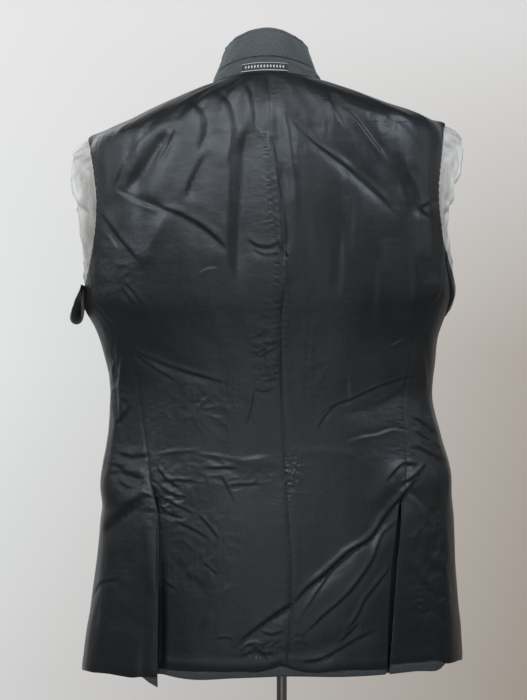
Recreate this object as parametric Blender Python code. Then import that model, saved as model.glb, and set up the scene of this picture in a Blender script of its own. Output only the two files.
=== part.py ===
"""A blazer turned inside out, worn on a limbless dress form with a round foot.

Metres, +Z up, centre back towards -Y. The origin is the middle of the foot's underside.
The lining, the jacket's wool shell and its sleeves are walls laid out on one shape of the
body, so that each layer keeps its distance from the next. A place on the body is a turn, 0
at the centre back, plus or minus 90 degrees at the sides and 180 at the front, and a rise,
which is the height up to the shoulders and then counts on over them to the neck.
"""

import math

import bmesh
import bpy
import numpy as np

# Sizes of the jacket
HEM = 0.7335
LINING_EDGE = 0.7428  # the lining ends this high, above the hem's turned-up wool
VENT_TOP = 0.945
SHOULDER = 1.405  # the ring through both shoulder tips
OVER_SHOULDER = 0.16  # what the rise counts from that ring to the neck seam
NECK_RISE = SHOULDER + OVER_SHOULDER
NECK_CENTRE = -0.0187
NECK_HALF_WIDTH = 0.0675
NECK_BACK = 0.085
NECK_FRONT = 0.060
NECK_HEIGHTS = dict(back=1.4690, side=1.4640, front=1.4080)
SHOULDER_HOLLOW = 0.07  # how far the shoulder line dips below straight
TILT_LOST = 0.6  # the share of the shoulders' tilt that is gone at the neck
CAP_ARC = math.radians(62)  # how far the back rounds over before it meets the collar

# Layers, as distances out from the body shape
SHELL_IN, SHELL_OUT = -0.0016, 0.0
LINING_IN, LINING_OUT = 0.0004, 0.0014
SEAM_HALF_GAP = 0.0003
VENT_LIFT = 0.0062
VENT_UNDERLAP = math.radians(4.2)
VENT_GAPE = math.radians(1.0)
PLEAT_LIFT = 0.0025
PLEAT_OVERLAP = 0.006

# Armholes and sleeves
ARM_MIDDLE = 1.310
ARM_HALF_HEIGHT = SHOULDER - ARM_MIDDLE
ARM_BACK = math.radians(25)
ARM_FRONT = math.radians(30)
ARM_SQUARENESS = 2.2
JUNCTION = 1.2535  # where the side seams meet the armhole
SLEEVE_TOP = 1.190  # from here down the sleeve is a flat tube beside the form
SLEEVE_DEPTH = -0.0180
SLEEVE_POINTS = 12
WOOL = 0.0015
LINING = 0.0010

# Stand
FOOT_RADIUS = 0.165
FOOT_THICKNESS = 0.010
POLE_RADIUS = 0.0065
FORM_BOTTOM = 0.800
FORM_SQUARENESS = 2.3
FORM_FOOT_RINGS = [(FORM_BOTTOM, 0.012), (FORM_BOTTOM + 0.004, 0.004), (FORM_BOTTOM + 0.014, 0.0)]
UNDER_SHELL = 0.0044  # what the form's shoulders leave free below the shell
TOUCH = 0.0003

BUTTON_RADIUS = 0.010
BUTTON_THICKNESS = 0.0032
BUTTON_SHANK = 0.0011


class Table:
    """Rows of named columns. at() reads a column smoothly between the rows."""

    def __init__(self, names, *rows):
        self.columns = dict(zip(names.split(), np.array(rows, float).T))
        self.key = self.columns[names.split()[0]]

    def at(self, name, where):
        values = self.columns[name]
        slopes = np.gradient(values, self.key)
        where = np.clip(where, self.key[0], self.key[-1])
        row = np.clip(np.searchsorted(self.key, where) - 1, 0, len(self.key) - 2)
        step = self.key[row + 1] - self.key[row]
        t = (where - self.key[row]) / step
        start = values[row] * (1 + 2 * t) + slopes[row] * step * t
        end = values[row + 1] * (3 - 2 * t) - slopes[row + 1] * step * (1 - t)
        return start * (1 - t) ** 2 + end * t**2


BODY = Table(
    "height centre half_width back front squareness tilt",
    (0.700, -0.0140, 0.2365, 0.119, 0.126, 2.40, 0.026),
    (0.763, -0.0110, 0.2335, 0.120, 0.126, 2.40, 0.026),
    (0.814, -0.0085, 0.2295, 0.119, 0.124, 2.40, 0.026),
    (0.864, -0.0066, 0.2250, 0.116, 0.121, 2.40, 0.027),
    (0.915, -0.0050, 0.2212, 0.111, 0.118, 2.40, 0.028),
    (0.940, -0.0050, 0.2190, 0.108, 0.116, 2.40, 0.029),
    (0.966, -0.0068, 0.2205, 0.105, 0.115, 2.40, 0.029),
    (1.016, -0.0098, 0.2102, 0.101, 0.114, 2.35, 0.030),
    (1.067, -0.0140, 0.2022, 0.100, 0.115, 2.30, 0.031),
    (1.105, -0.0130, 0.2040, 0.102, 0.118, 2.30, 0.032),
    (1.143, -0.0152, 0.2112, 0.106, 0.122, 2.30, 0.033),
    (1.168, -0.0150, 0.2205, 0.110, 0.126, 2.35, 0.034),
    (1.190, -0.0165, 0.2305, 0.114, 0.128, 2.40, 0.035),
    (1.220, -0.0168, 0.2305, 0.118, 0.130, 2.40, 0.036),
    (1.269, -0.0182, 0.2280, 0.121, 0.130, 2.40, 0.038),
    (1.320, -0.0180, 0.2255, 0.121, 0.125, 2.40, 0.039),
    (1.370, -0.0183, 0.2250, 0.117, 0.115, 2.45, 0.041),
    (1.405, -0.0185, 0.2225, 0.112, 0.105, 2.50, 0.042),
)

# Seams and edges, as turns in degrees
SEAMS = Table(
    "height back_left back_right front facing edge",
    (0.700, 33.2, 34.6, 128.0, 161.0, 178.4),
    (0.850, 36.7, 37.9, 126.0, 160.5, 178.6),
    (0.945, 39.4, 41.6, 124.0, 160.0, 178.8),
    (1.067, 49.7, 51.0, 121.5, 158.0, 178.8),
    (1.150, 55.4, 56.0, 119.0, 156.0, 178.7),
    (1.2535, 69.0, 69.0, 115.2, 150.0, 178.2),
    (1.405, 69.0, 69.0, 115.2, 134.0, 176.5),
    (1.565, 69.0, 69.0, 115.2, 116.0, 166.0),
)
CENTRE_BACK = Table(
    "height x",
    (0.700, 0.004),
    (0.860, 0.011),
    (1.000, 0.003),
    (1.150, -0.001),
    (1.280, 0.000),
    (1.345, -0.008),
    (1.405, -0.019),
)
# How far the sleeve lining puffs out of the armhole
PUFF = Table(
    "height left right",
    (1.215, 0.002, 0.002),
    (1.240, 0.004, 0.004),
    (1.270, 0.011, 0.006),
    (1.310, 0.021, 0.016),
    (1.355, 0.026, 0.024),
    (1.388, 0.020, 0.021),
    (1.405, 0.012, 0.010),
)
FORM = Table(
    "height centre half_width back front",
    (0.800, 0.0000, 0.150, 0.084, 0.092),
    (0.870, -0.0010, 0.158, 0.091, 0.099),
    (0.960, -0.0030, 0.155, 0.084, 0.094),
    (1.060, -0.0070, 0.147, 0.078, 0.090),
    (1.160, -0.0110, 0.155, 0.086, 0.102),
    (1.260, -0.0145, 0.163, 0.096, 0.108),
    (1.330, -0.0165, 0.163, 0.099, 0.104),
    (1.370, -0.0178, 0.160, 0.098, 0.092),
)
# The largest folds of the back: both ends, half width and depth (minus is a ridge)
FOLDS = (
    dict(x0=-0.036, z0=1.405, x1=-0.056, z1=1.217, wide=0.020, deep=0.0075),
    dict(x0=0.018, z0=1.412, x1=0.142, z1=1.298, wide=0.018, deep=0.0070),
    dict(x0=0.138, z0=1.360, x1=0.156, z1=1.243, wide=0.022, deep=0.0060),
    dict(x0=-0.140, z0=1.395, x1=-0.187, z1=1.325, wide=0.018, deep=0.0055),
    dict(x0=-0.200, z0=1.327, x1=-0.065, z1=1.251, wide=0.018, deep=0.0055),
    dict(x0=-0.193, z0=1.147, x1=-0.091, z1=1.092, wide=0.018, deep=0.0050),
    dict(x0=0.158, z0=1.085, x1=0.060, z1=1.050, wide=0.018, deep=0.0045),
    dict(x0=0.160, z0=0.975, x1=0.086, z1=0.891, wide=0.020, deep=0.0075),
    dict(x0=0.086, z0=0.891, x1=-0.038, z1=0.797, wide=0.020, deep=0.0070),
    dict(x0=0.133, z0=0.913, x1=0.060, z1=0.812, wide=0.018, deep=-0.0050),
    dict(x0=0.115, z0=0.791, x1=-0.014, z1=0.752, wide=0.018, deep=0.0050),
    dict(x0=-0.154, z0=0.950, x1=-0.218, z1=0.893, wide=0.020, deep=-0.0040),
)
FOLDS_REACH = 0.045  # the folds fade out this near the sides


# The rises of the panels' rows of points
BELOW_VENT = 0.905
ABOVE_VENT = 0.985
PLEAT_START, PLEAT_FULL = 1.175, 1.215
LOWER = np.array([
    0.770, 0.835, BELOW_VENT, VENT_TOP, ABOVE_VENT, 1.030, 1.065, 1.105, 1.140,
    PLEAT_START, PLEAT_FULL, JUNCTION,
])
UPPER = np.array([1.288, 1.322, 1.357, 1.387, SHOULDER - 0.005, SHOULDER])
OVER = SHOULDER + OVER_SHOULDER * np.array([0.18, 0.42, 0.70, 1.0])
SHELL_STEPS = np.array([HEM, LINING_EDGE - 0.0008, LINING_EDGE - 0.0004])
BACK_SHARES = np.linspace(0, 1, 8)
SIDE_SHARES = np.array([0, 0.09, 0.28, 0.52, 0.76, 1])
FRONT_SHARES = np.linspace(0, 1, 5)
FACING_SHARES = np.linspace(0, 1, 3)

# Rings of the sleeves at the armhole: the share of its size, the distance out, how much
# further out the bottom lies than the top, and the share of the puff
LINING_RINGS = (
    dict(size=0.930, out=-0.0012, lean=0.0, puff=0.00),
    dict(size=0.930, out=0.0020, lean=0.0, puff=0.40),
    dict(size=0.900, out=0.0020, lean=0.0, puff=0.85),
    dict(size=0.830, out=0.0015, lean=0.0, puff=1.00),
    dict(size=0.760, out=-0.0010, lean=0.0, puff=0.70),
    dict(size=0.710, out=-0.0050, lean=0.0, puff=0.15),
)
LINING_THROAT = dict(size=0.700, out=-0.0076, lean=0.0004, puff=0.0)
WOOL_RINGS = (dict(size=0.965, out=-0.0033, lean=0.0, puff=0.0),)
WOOL_THROAT = dict(size=0.900, out=-0.0078, lean=0.0036, puff=0.0)
SLEEVE_LEVELS = (SLEEVE_TOP, 1.130, 1.080, 1.030, 0.905, 0.778)

# The collar stands up: rings from the neck seam to its top edge
COLLAR_THICKNESS = 0.0030
COLLAR_END = math.radians(163)
COLLAR = (
    dict(half=0.0672, back=0.0850, front=0.0590, heights=(1.4721, 1.4669, 1.4121)),
    dict(half=0.0648, back=0.0846, front=0.0570, heights=(1.4810, 1.4735, 1.4220)),
    dict(half=0.0615, back=0.0835, front=0.0540, heights=(1.4900, 1.4790, 1.4320)),
    dict(half=0.0560, back=0.0808, front=0.0500, heights=(1.5070, 1.4950, 1.4500)),
    dict(half=0.0500, back=0.0755, front=0.0460, heights=(1.5262, 1.5110, 1.4660)),
)
COLLAR_TILT = (0.017, 0.010, 0.002, 0.0, 0.0)

# The form's neck: half width, heights at back, side and front, and tilt
NECK_MIDDLE = -0.012
NECK_OVAL = 0.95
NECK_RINGS = (
    (0.0520, (1.4690, 1.4650, 1.4120), 0.017),
    (0.0475, (1.4800, 1.4770, 1.4400), 0.008),
    (0.0455, (1.4960, 1.4960, 1.4960), 0.0),
)


def ease(value):
    value = np.clip(value, 0, 1)
    return value * value * (3 - 2 * value)


def by_heading(turn, back, side, front):
    """A value that goes from back to side to front round a ring."""
    ahead = np.cos(turn)
    return side + (np.where(ahead > 0, back, front) - side) * ahead**2


def body_shape(turn, rise):
    """Points of the body that the jacket wraps, folds left out."""
    turn, rise = np.broadcast_arrays(np.asarray(turn, float), np.asarray(rise, float))
    level = np.minimum(rise, SHOULDER)
    over = np.clip((rise - SHOULDER) / OVER_SHOULDER, 0, 1)
    side, back = np.sin(turn), np.cos(turn)
    power = BODY.at("squareness", level)
    size = (np.abs(side) ** power + np.abs(back) ** power) ** (-1 / power)
    depth = np.where(back > 0, BODY.at("back", level), BODY.at("front", level))
    x = BODY.at("half_width", level) * side * size
    y = -depth * back * size
    straight = np.abs(side) ** 3
    bend_in = (1 - np.cos(over * CAP_ARC)) / (1 - math.cos(CAP_ARC))
    bend_up = np.sin(over * CAP_ARC) / math.sin(CAP_ARC)
    inward = bend_in + (over - bend_in) * straight
    upward = bend_up + (over - bend_up) * straight
    upward -= SHOULDER_HOLLOW * np.sin(math.pi * over) * straight
    neck_depth = np.where(back > 0, NECK_BACK, NECK_FRONT)
    x += (NECK_HALF_WIDTH * side - x) * inward
    y += (-neck_depth * back - y) * inward
    tilted = BODY.at("tilt", level) * x * (1 - TILT_LOST * over)
    z = level + (by_heading(turn, **NECK_HEIGHTS) - SHOULDER) * upward + tilted
    return np.stack([x + BODY.at("centre", level), y, z], axis=-1)


def outward(turn, rise, step=1e-4):
    """The direction straight out of the body."""
    across = body_shape(turn + step, rise) - body_shape(turn - step, rise)
    up = body_shape(turn, rise + step) - body_shape(turn, rise - step)
    normal = np.cross(across, up)
    return normal / np.linalg.norm(normal, axis=-1, keepdims=True)


def fold_depth(points, turn):
    """How far the back's largest folds lie in from the body."""
    x, z = points[..., 0], points[..., 2]
    total = np.zeros(x.shape)
    for fold in FOLDS:
        start = np.array([fold["x0"], fold["z0"]])
        along = np.array([fold["x1"], fold["z1"]]) - start
        length = np.hypot(*along)
        along /= length
        share = ((x - start[0]) * along[0] + (z - start[1]) * along[1]) / length
        aside = (x - start[0]) * along[1] - (z - start[1]) * along[0]
        fade = ease((share + 0.1) / 0.3) * ease((1.1 - share) / 0.3)
        total += fold["deep"] * fade * np.exp(-((aside / fold["wide"]) ** 2))
    from_side = (math.pi / 2 - np.abs(turn)) * BODY.at("back", ARM_MIDDLE)
    return total * ease(from_side / FOLDS_REACH)


def off_body(turn, rise, out):
    """Points that lie out from the body by this much, its folds left out."""
    turn, rise, out = np.broadcast_arrays(turn, rise, out)
    return body_shape(turn, rise) + outward(turn, rise) * out[..., None]


def cloth(turn, rise, out):
    """Points that lie out from the folded body by this much."""
    return off_body(turn, rise, out - fold_depth(body_shape(turn, rise), turn))


def material(name, colour, roughness, metallic=0.0, sheen=0.0):
    made = bpy.data.materials.get(name) or bpy.data.materials.new(name)
    made.use_nodes = True
    shader = made.node_tree.nodes["Principled BSDF"]
    shader.inputs["Base Color"].default_value = (*colour, 1)
    shader.inputs["Roughness"].default_value = roughness
    shader.inputs["Metallic"].default_value = metallic
    shader.inputs["Sheen Weight"].default_value = sheen
    return made


def satin():
    return material("black_satin_lining", (0.030, 0.033, 0.035), 0.42, sheen=0.1)


def wool():
    return material("grey_wool", (0.075, 0.095, 0.105), 0.90, sheen=0.3)


def striped():
    return material("pale_sleeve_lining", (0.75, 0.73, 0.70), 0.50)


def steel():
    return material("brushed_steel", (0.56, 0.56, 0.55), 0.35, metallic=1.0)


def jersey():
    return material("form_jersey", (0.62, 0.58, 0.52), 0.85)


def add_solid(name, points, faces, finish):
    """One closed body as an object, its faces turned outwards."""
    mesh = bpy.data.meshes.new(name)
    mesh.from_pydata([tuple(map(float, p)) for p in points], [], faces)
    shape = bmesh.new()
    shape.from_mesh(mesh)
    bmesh.ops.recalc_face_normals(shape, faces=shape.faces)
    if shape.calc_volume(signed=True) < 0:
        bmesh.ops.reverse_faces(shape, faces=shape.faces)
    shape.to_mesh(mesh)
    shape.free()
    mesh.materials.append(finish)
    mesh.shade_smooth()
    mesh.set_sharp_from_angle(angle=math.radians(40))
    placed = bpy.data.objects.new(name, mesh)
    bpy.context.collection.objects.link(placed)
    return placed


def add_wall(name, inner, outer, finish, ring=False):
    """A wall between two grids of points. A ring's last column joins its first."""
    rows, columns = inner.shape[:2]
    half = rows * columns
    points = np.concatenate([outer.reshape(-1, 3), inner.reshape(-1, 3)])
    faces = []

    def corner(row, column):
        return row * columns + column % columns

    for row in range(rows - 1):
        for column in range(columns if ring else columns - 1):
            a, b = corner(row, column), corner(row, column + 1)
            c, d = corner(row + 1, column + 1), corner(row + 1, column)
            faces += [(a, b, c), (a, c, d)]
            faces += [(half + c, half + b, half + a), (half + d, half + c, half + a)]
    rims = [
        [corner(row, column) for column in range(columns + ring)] for row in (0, rows - 1)
    ]
    if not ring:
        rims += [
            [corner(row, column) for row in range(rows)] for column in (0, columns - 1)
        ]
    for rim in rims:
        for a, b in zip(rim, rim[1:]):
            faces += [(a, b, half + b), (a, half + b, half + a)]
    return add_solid(name, points, faces, finish)


def add_rings(name, rings, finish, hollow=False):
    """A body through rings of points. A hollow one's last ring joins its first."""
    count = len(rings[0])
    points = [point for ring in rings for point in ring]
    faces = []
    if not hollow:
        faces = [tuple(range(count)), tuple(range(len(points) - count, len(points)))]
    for row in range(len(rings) if hollow else len(rings) - 1):
        near, far = row * count, (row + 1) % len(rings) * count
        for column in range(count):
            beside = (column + 1) % count
            faces.append((near + column, near + beside, far + beside, far + column))
    return add_solid(name, points, faces, finish)


def sheet_normals(grid, ring):
    """Directions square to a grid of points."""
    if ring:
        across = np.roll(grid, -1, axis=1) - np.roll(grid, 1, axis=1)
    else:
        across = np.gradient(grid, axis=1)
    normal = np.cross(across, np.gradient(grid, axis=0))
    return normal / np.linalg.norm(normal, axis=-1, keepdims=True)


def add_sheet(name, grid, thickness, finish, ring=False):
    """A wall of even thickness whose middle is this grid."""
    half = sheet_normals(grid, ring) * thickness / 2
    return add_wall(name, grid - half, grid + half, finish, ring)


def arm_edge(rise, half_turn):
    """How far the armhole's edge is from the side at this rise."""
    share = np.clip(np.abs(rise - ARM_MIDDLE) / ARM_HALF_HEIGHT, 0, 1)
    return half_turn * (1 - share**ARM_SQUARENESS) ** (1 / ARM_SQUARENESS)


def arm_bottom(turn):
    """The armhole's lower edge at this turn, counted without its sign."""
    half_turn = np.where(turn < math.pi / 2, ARM_BACK, ARM_FRONT)
    share = np.clip(np.abs(turn - math.pi / 2) / half_turn, 0, 1)
    drop = (1 - share**ARM_SQUARENESS) ** (1 / ARM_SQUARENESS)
    return ARM_MIDDLE - ARM_HALF_HEIGHT * drop


def centre_turn(rise, aside=0.0):
    """The turn of the centre back seam, or of a line this far beside it."""
    level = np.minimum(rise, SHOULDER)
    x = CENTRE_BACK.at("x", level) + aside - BODY.at("centre", level)
    return np.arcsin(x / BODY.at("half_width", level))


def seam(name, rise):
    return np.radians(SEAMS.at(name, rise))


def outer_turn(rise, side_name, half_turn, toward):
    """A panel's edge at the side: its seam, then the armhole, then the shoulder seam."""
    armhole = math.pi / 2 + toward * arm_edge(rise, half_turn)
    at_side = np.where(rise < JUNCTION - 1e-6, seam(side_name, rise), armhole)
    return np.where(rise >= SHOULDER - 1e-6, math.pi / 2, at_side)


def spread(start, end, rise, shares):
    """Turns from one edge to the other in each row, half a seam gap inside both."""
    start, end = np.broadcast_arrays(start, end)
    width = np.linalg.norm(body_shape(start, rise) - body_shape(end, rise), axis=-1)
    inset = (SEAM_HALF_GAP / width)[:, None]
    return start[:, None] + (end - start)[:, None] * (inset + (1 - 2 * inset) * shares)


def turned_up(rows):
    """How far out the shell reaches: its hem is turned up over the first two rows."""
    out = np.full(rows, SHELL_OUT)
    out[:2] = LINING_OUT
    return out[:, None]


def back_panels(side, name):
    """The back's shell and lining, from the centre seam to the side seam.

    The lining's left side ends in a pleat that lies over the right side.
    """
    vent = VENT_UNDERLAP if name == "left" else -VENT_GAPE
    for layer in ("shell", "lining"):
        start = SHELL_STEPS if layer == "shell" else [LINING_EDGE]
        rise = np.concatenate([start, LOWER, UPPER, OVER])
        outer = outer_turn(rise, "back_" + name, ARM_BACK, -1)
        outer = outer + vent * ease((VENT_TOP - rise) / (VENT_TOP - BELOW_VENT))
        turn = spread(centre_turn(rise), side * outer, rise, BACK_SHARES)
        lift = np.zeros(turn.shape)
        if (layer, name) == ("lining", "left"):
            reach = ease((rise - PLEAT_FULL) / 0.04) * ease((NECK_RISE - rise) / 0.05)
            turn[:, 0] += reach * PLEAT_OVERLAP / BODY.at("half_width", JUNCTION)
            raised = ease((rise - PLEAT_START) / (PLEAT_FULL - PLEAT_START))
            lift[:, 0] = PLEAT_LIFT * raised
        low = lift + (SHELL_IN if layer == "shell" else LINING_IN)
        high = lift + (turned_up(len(rise)) if layer == "shell" else LINING_OUT)
        finish = wool() if layer == "shell" else satin()
        inner = cloth(turn, rise[:, None], low)
        outer = cloth(turn, rise[:, None], high)
        add_wall(f"{layer}_back_{name}", inner, outer, finish)


def side_panels(side, name):
    """The panel under the arm. On the left its back edge lies over the back's vent."""
    for layer in ("shell", "lining"):
        start = SHELL_STEPS if layer == "shell" else [LINING_EDGE]
        rise = np.concatenate([start, LOWER])
        ends = seam("back_" + name, rise), seam("front", rise)
        turn = spread(*ends, rise, SIDE_SHARES)
        share = np.clip((rise - ABOVE_VENT) / (JUNCTION - ABOVE_VENT), 0, 1)[:, None]
        lift = np.zeros(turn.shape)
        if name == "left":
            near_edge = ease(1 - 1.6 * SIDE_SHARES)
            below = ease((ABOVE_VENT - rise) / (ABOVE_VENT - VENT_TOP))
            lift = VENT_LIFT * near_edge * below[:, None]
        low = lift + (SHELL_IN if layer == "shell" else LINING_IN)
        high = lift + (turned_up(len(rise)) if layer == "shell" else LINING_OUT)
        rise = rise[:, None] + share * (arm_bottom(turn[-1]) - JUNCTION)
        finish = wool() if layer == "shell" else satin()
        inner = cloth(side * turn, rise, low)
        outer = cloth(side * turn, rise, high)
        add_wall(f"{layer}_side_{name}", inner, outer, finish)


def front_panels(side, name):
    """The front's shell, its lining and the wool facing along the front edge."""
    for label, finish in (("shell_front", wool()), ("lining_front", satin()), ("facing", wool())):
        start = SHELL_STEPS if label == "shell_front" else [LINING_EDGE]
        rise = np.concatenate([start, LOWER, UPPER, OVER])
        at_side = outer_turn(rise, "front", ARM_FRONT, 1)
        covered = spread(at_side, seam("facing", rise), rise, FRONT_SHARES)
        faced = spread(seam("facing", rise), seam("edge", rise), rise, FACING_SHARES)
        low, high = LINING_IN, LINING_OUT
        turn = covered if label == "lining_front" else faced
        if label == "shell_front":
            turn = np.concatenate([covered, faced[:, 1:]], axis=1)
            low, high = SHELL_IN, turned_up(len(rise))
        inner = cloth(side * turn, rise[:, None], low)
        outer = cloth(side * turn, rise[:, None], high)
        add_wall(f"{label}_{name}", inner, outer, finish)


def arm_ring(name, size, out, lean, puff):
    """A ring parallel to the armhole's edge, as turn, rise and distance out."""
    angle = np.arange(SLEEVE_POINTS) * 2 * math.pi / SLEEVE_POINTS
    up, back = np.cos(angle), np.sin(angle)
    corner = np.abs(up) ** ARM_SQUARENESS + np.abs(back) ** ARM_SQUARENESS
    scale = size * corner ** (-1 / ARM_SQUARENESS)
    half_turn = np.where(back > 0, ARM_BACK, ARM_FRONT)
    turn = math.pi / 2 - half_turn * back * scale
    rise = ARM_MIDDLE + ARM_HALF_HEIGHT * up * scale
    return np.stack([turn, rise, out - lean * up + puff * PUFF.at(name, rise)])


def tube_ring(height, half_turn, half_thickness):
    """A ring of the hanging sleeve. The top of the armhole becomes its inner side."""
    angle = np.arange(SLEEVE_POINTS) * 2 * math.pi / SLEEVE_POINTS
    up, back = np.cos(angle), np.sin(angle)
    turn = math.pi / 2 - half_turn * np.sign(back) * np.abs(back) ** 0.8
    thick = half_thickness * np.sign(up) * np.abs(up) ** 0.8
    return np.stack([turn, np.full(SLEEVE_POINTS, height), SLEEVE_DEPTH - thick])


def sleeve(side, name, rings, throat, half_turns, half_thickness):
    """Rings from the armhole down to the cuff, as points."""
    made = [arm_ring(name, **ring) for ring in rings]
    first = arm_ring(name, **throat)
    tube = tube_ring(SLEEVE_TOP, half_turns[0], half_thickness)
    made += [first + (tube - first) * share for share in (0.30, 0.62, 0.86)]
    for row, height in enumerate(SLEEVE_LEVELS):
        share = row / (len(SLEEVE_LEVELS) - 1)
        half_turn = half_turns[0] + (half_turns[1] - half_turns[0]) * share
        made.append(tube_ring(height, half_turn, half_thickness))
    turn, rise, out = np.stack(made, axis=1)
    return off_body(side * turn, rise, out)


def sleeves(side, name):
    narrow = (math.radians(29.0), math.radians(25.0))
    wide = (math.radians(30.2), math.radians(26.2))
    lining_grid = sleeve(side, name, LINING_RINGS, LINING_THROAT, narrow, 0.0088)
    add_sheet(f"sleeve_lining_{name}", lining_grid, LINING, striped(), ring=True)
    wool_grid = sleeve(side, name, WOOL_RINGS, WOOL_THROAT, wide, 0.0110)
    add_sheet(f"sleeve_{name}", wool_grid, WOOL, wool(), ring=True)


def collar_ring(row, turn):
    """Points of a ring of the collar. Whole rows are those of COLLAR."""
    low = min(int(row), len(COLLAR) - 2)
    share = row - low
    ends = []
    for ring, tilt in zip(COLLAR[low : low + 2], COLLAR_TILT[low : low + 2]):
        x = ring["half"] * np.sin(turn)
        depth = np.where(np.cos(turn) > 0, ring["back"], ring["front"])
        z = by_heading(turn, *ring["heights"]) + tilt * x
        ends.append(np.stack([x + NECK_CENTRE, -depth * np.cos(turn), z], axis=-1))
    return ends[0] + (ends[1] - ends[0]) * share


def collar():
    turn = np.linspace(-COLLAR_END, COLLAR_END, 23)
    seam_share = 0.04
    stand = np.stack([collar_ring(row, turn) for row in (0, 1, 2 - seam_share)])
    fall = np.stack([collar_ring(row, turn) for row in (2 + seam_share, 3, 4)])
    add_sheet("collar_stand", stand, COLLAR_THICKNESS, wool())
    add_sheet("collar_fall", fall, COLLAR_THICKNESS, wool())


def label():
    """A small bare label sewn to the collar stand."""
    half_long = 0.0276
    centre = -0.004 / NECK_BACK
    turn = np.linspace(centre - half_long / 0.0648, centre + half_long / 0.0648, 9)
    grid = np.stack([collar_ring(row, turn) for row in (0.12, 0.70, 1.26)])
    normal = sheet_normals(grid, ring=False)
    near = COLLAR_THICKNESS / 2 + 0.0005
    finish = material("label_weave", (0.012, 0.012, 0.013), 0.7)
    add_wall("neck_label", grid + normal * near, grid + normal * (near + 0.0007), finish)


def shield_right():
    """A half-moon underarm shield that lies flat below the armhole."""
    middle, corner = 1.166, 1.228
    clear, edge, padding = 0.0016, 0.0012, 0.0026
    turn = np.radians(np.linspace(70, 110, 9))
    share = np.linspace(-1, 1, 9)
    top = arm_bottom(turn) - 0.004
    bottom = middle + (corner - middle) * np.abs(share) ** 2.4
    down = np.linspace(0, 1, 5)[:, None]
    rise = top + (np.minimum(bottom, top - 0.006) - top) * down
    full = (1 - share**2) * np.sin(math.pi * (0.12 + 0.76 * down))
    inner = off_body(turn, rise, LINING_OUT + clear)
    outer = off_body(turn, rise, LINING_OUT + clear + edge + padding * full)
    add_wall("shield_right", inner, outer, satin())


def shield_left():
    """The other shield hangs free of the armhole, folded into a drop shape."""
    top = np.array([-0.2501, 1.2115])
    bottom = np.array([-0.2597, 1.1700])
    round_radius = 0.0066
    half_long = 0.036
    down = (bottom - top) / np.linalg.norm(bottom - top)
    across = np.array([down[1], -down[0]])
    angles = np.radians(np.linspace(-100, 100, 9))
    tip = [top - across * 0.0012, top + across * 0.0012]
    arc = [bottom + round_radius * (math.cos(a) * down + math.sin(a) * across) for a in angles]
    outline = np.array(tip[:1] + arc + tip[1:])
    rings = []
    for share in np.linspace(-1, 1, 9):
        size = 0.25 + 0.75 * math.sqrt(max(0.0, 1 - share * share))
        ring = top + (outline - top) * size
        rings.append([(x, share * half_long, z) for x, z in ring])
    add_rings("shield_left", rings, satin())


def buttons():
    """Two front buttons on the shell's right side, which now faces the form."""
    turn = np.array(math.radians(-174.0))
    for name, rise in (("button_upper", 1.075), ("button_lower", 0.965)):
        inward = -outward(turn, rise)
        rim = [(BUTTON_RADIUS, end * BUTTON_THICKNESS / 2) for end in (-1, 1)]
        button = turned(name, rim, material("horn_button", (0.05, 0.045, 0.04), 0.4), 20)
        middle = BUTTON_SHANK - SHELL_IN + BUTTON_THICKNESS / 2
        button.location = body_shape(turn, rise) + inward * middle
        button.rotation_euler = (math.pi / 2, 0, math.atan2(-inward[0], inward[1]))
        bevel = button.modifiers.new("Bevel", "BEVEL")
        bevel.width = 0.0008
        bevel.segments = 2
        bevel.limit_method = "ANGLE"


def form():
    """The torso of the form. Its shoulders carry the jacket."""
    turn = np.linspace(0, 2 * math.pi, 28, endpoint=False)
    side, back = np.sin(turn), np.cos(turn)
    size = (np.abs(side) ** FORM_SQUARENESS + np.abs(back) ** FORM_SQUARENESS) ** (-1 / FORM_SQUARENESS)
    grid = []
    for height, inset in FORM_FOOT_RINGS + [(height, 0.0) for height in np.linspace(0.86, 1.36, 7)]:
        depth = np.where(back > 0, FORM.at("back", height), FORM.at("front", height)) - inset
        x = (FORM.at("half_width", height) - inset) * side * size + FORM.at("centre", height)
        grid.append(np.stack([x, -depth * back * size, np.full(turn.shape, height)], axis=-1))
    signed = (turn + math.pi) % (2 * math.pi) - math.pi
    for share in (0.42, 0.56, 0.72, 0.88):
        grid.append(cloth(signed, SHOULDER + OVER_SHOULDER * share, SHELL_IN - UNDER_SHELL))
    for half, heights, tilt in NECK_RINGS:
        x = half * side
        y = NECK_MIDDLE - NECK_OVAL * half * back
        z = by_heading(turn, *heights) + tilt * x
        grid.append(np.stack([x + NECK_CENTRE, y, z], axis=-1))
    add_rings("form_body", grid, jersey())


def turned(name, profile, finish, segments, hollow=False):
    """A profile of radius and height turned round the axis.

    A hollow one has a closed profile round a bore, and any other has flat ends.
    """
    angle = np.arange(segments) * 2 * math.pi / segments
    rings = [[(r * math.cos(a), r * math.sin(a), z) for a in angle] for r, z in profile]
    return add_rings(name, rings, finish, hollow)


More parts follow.
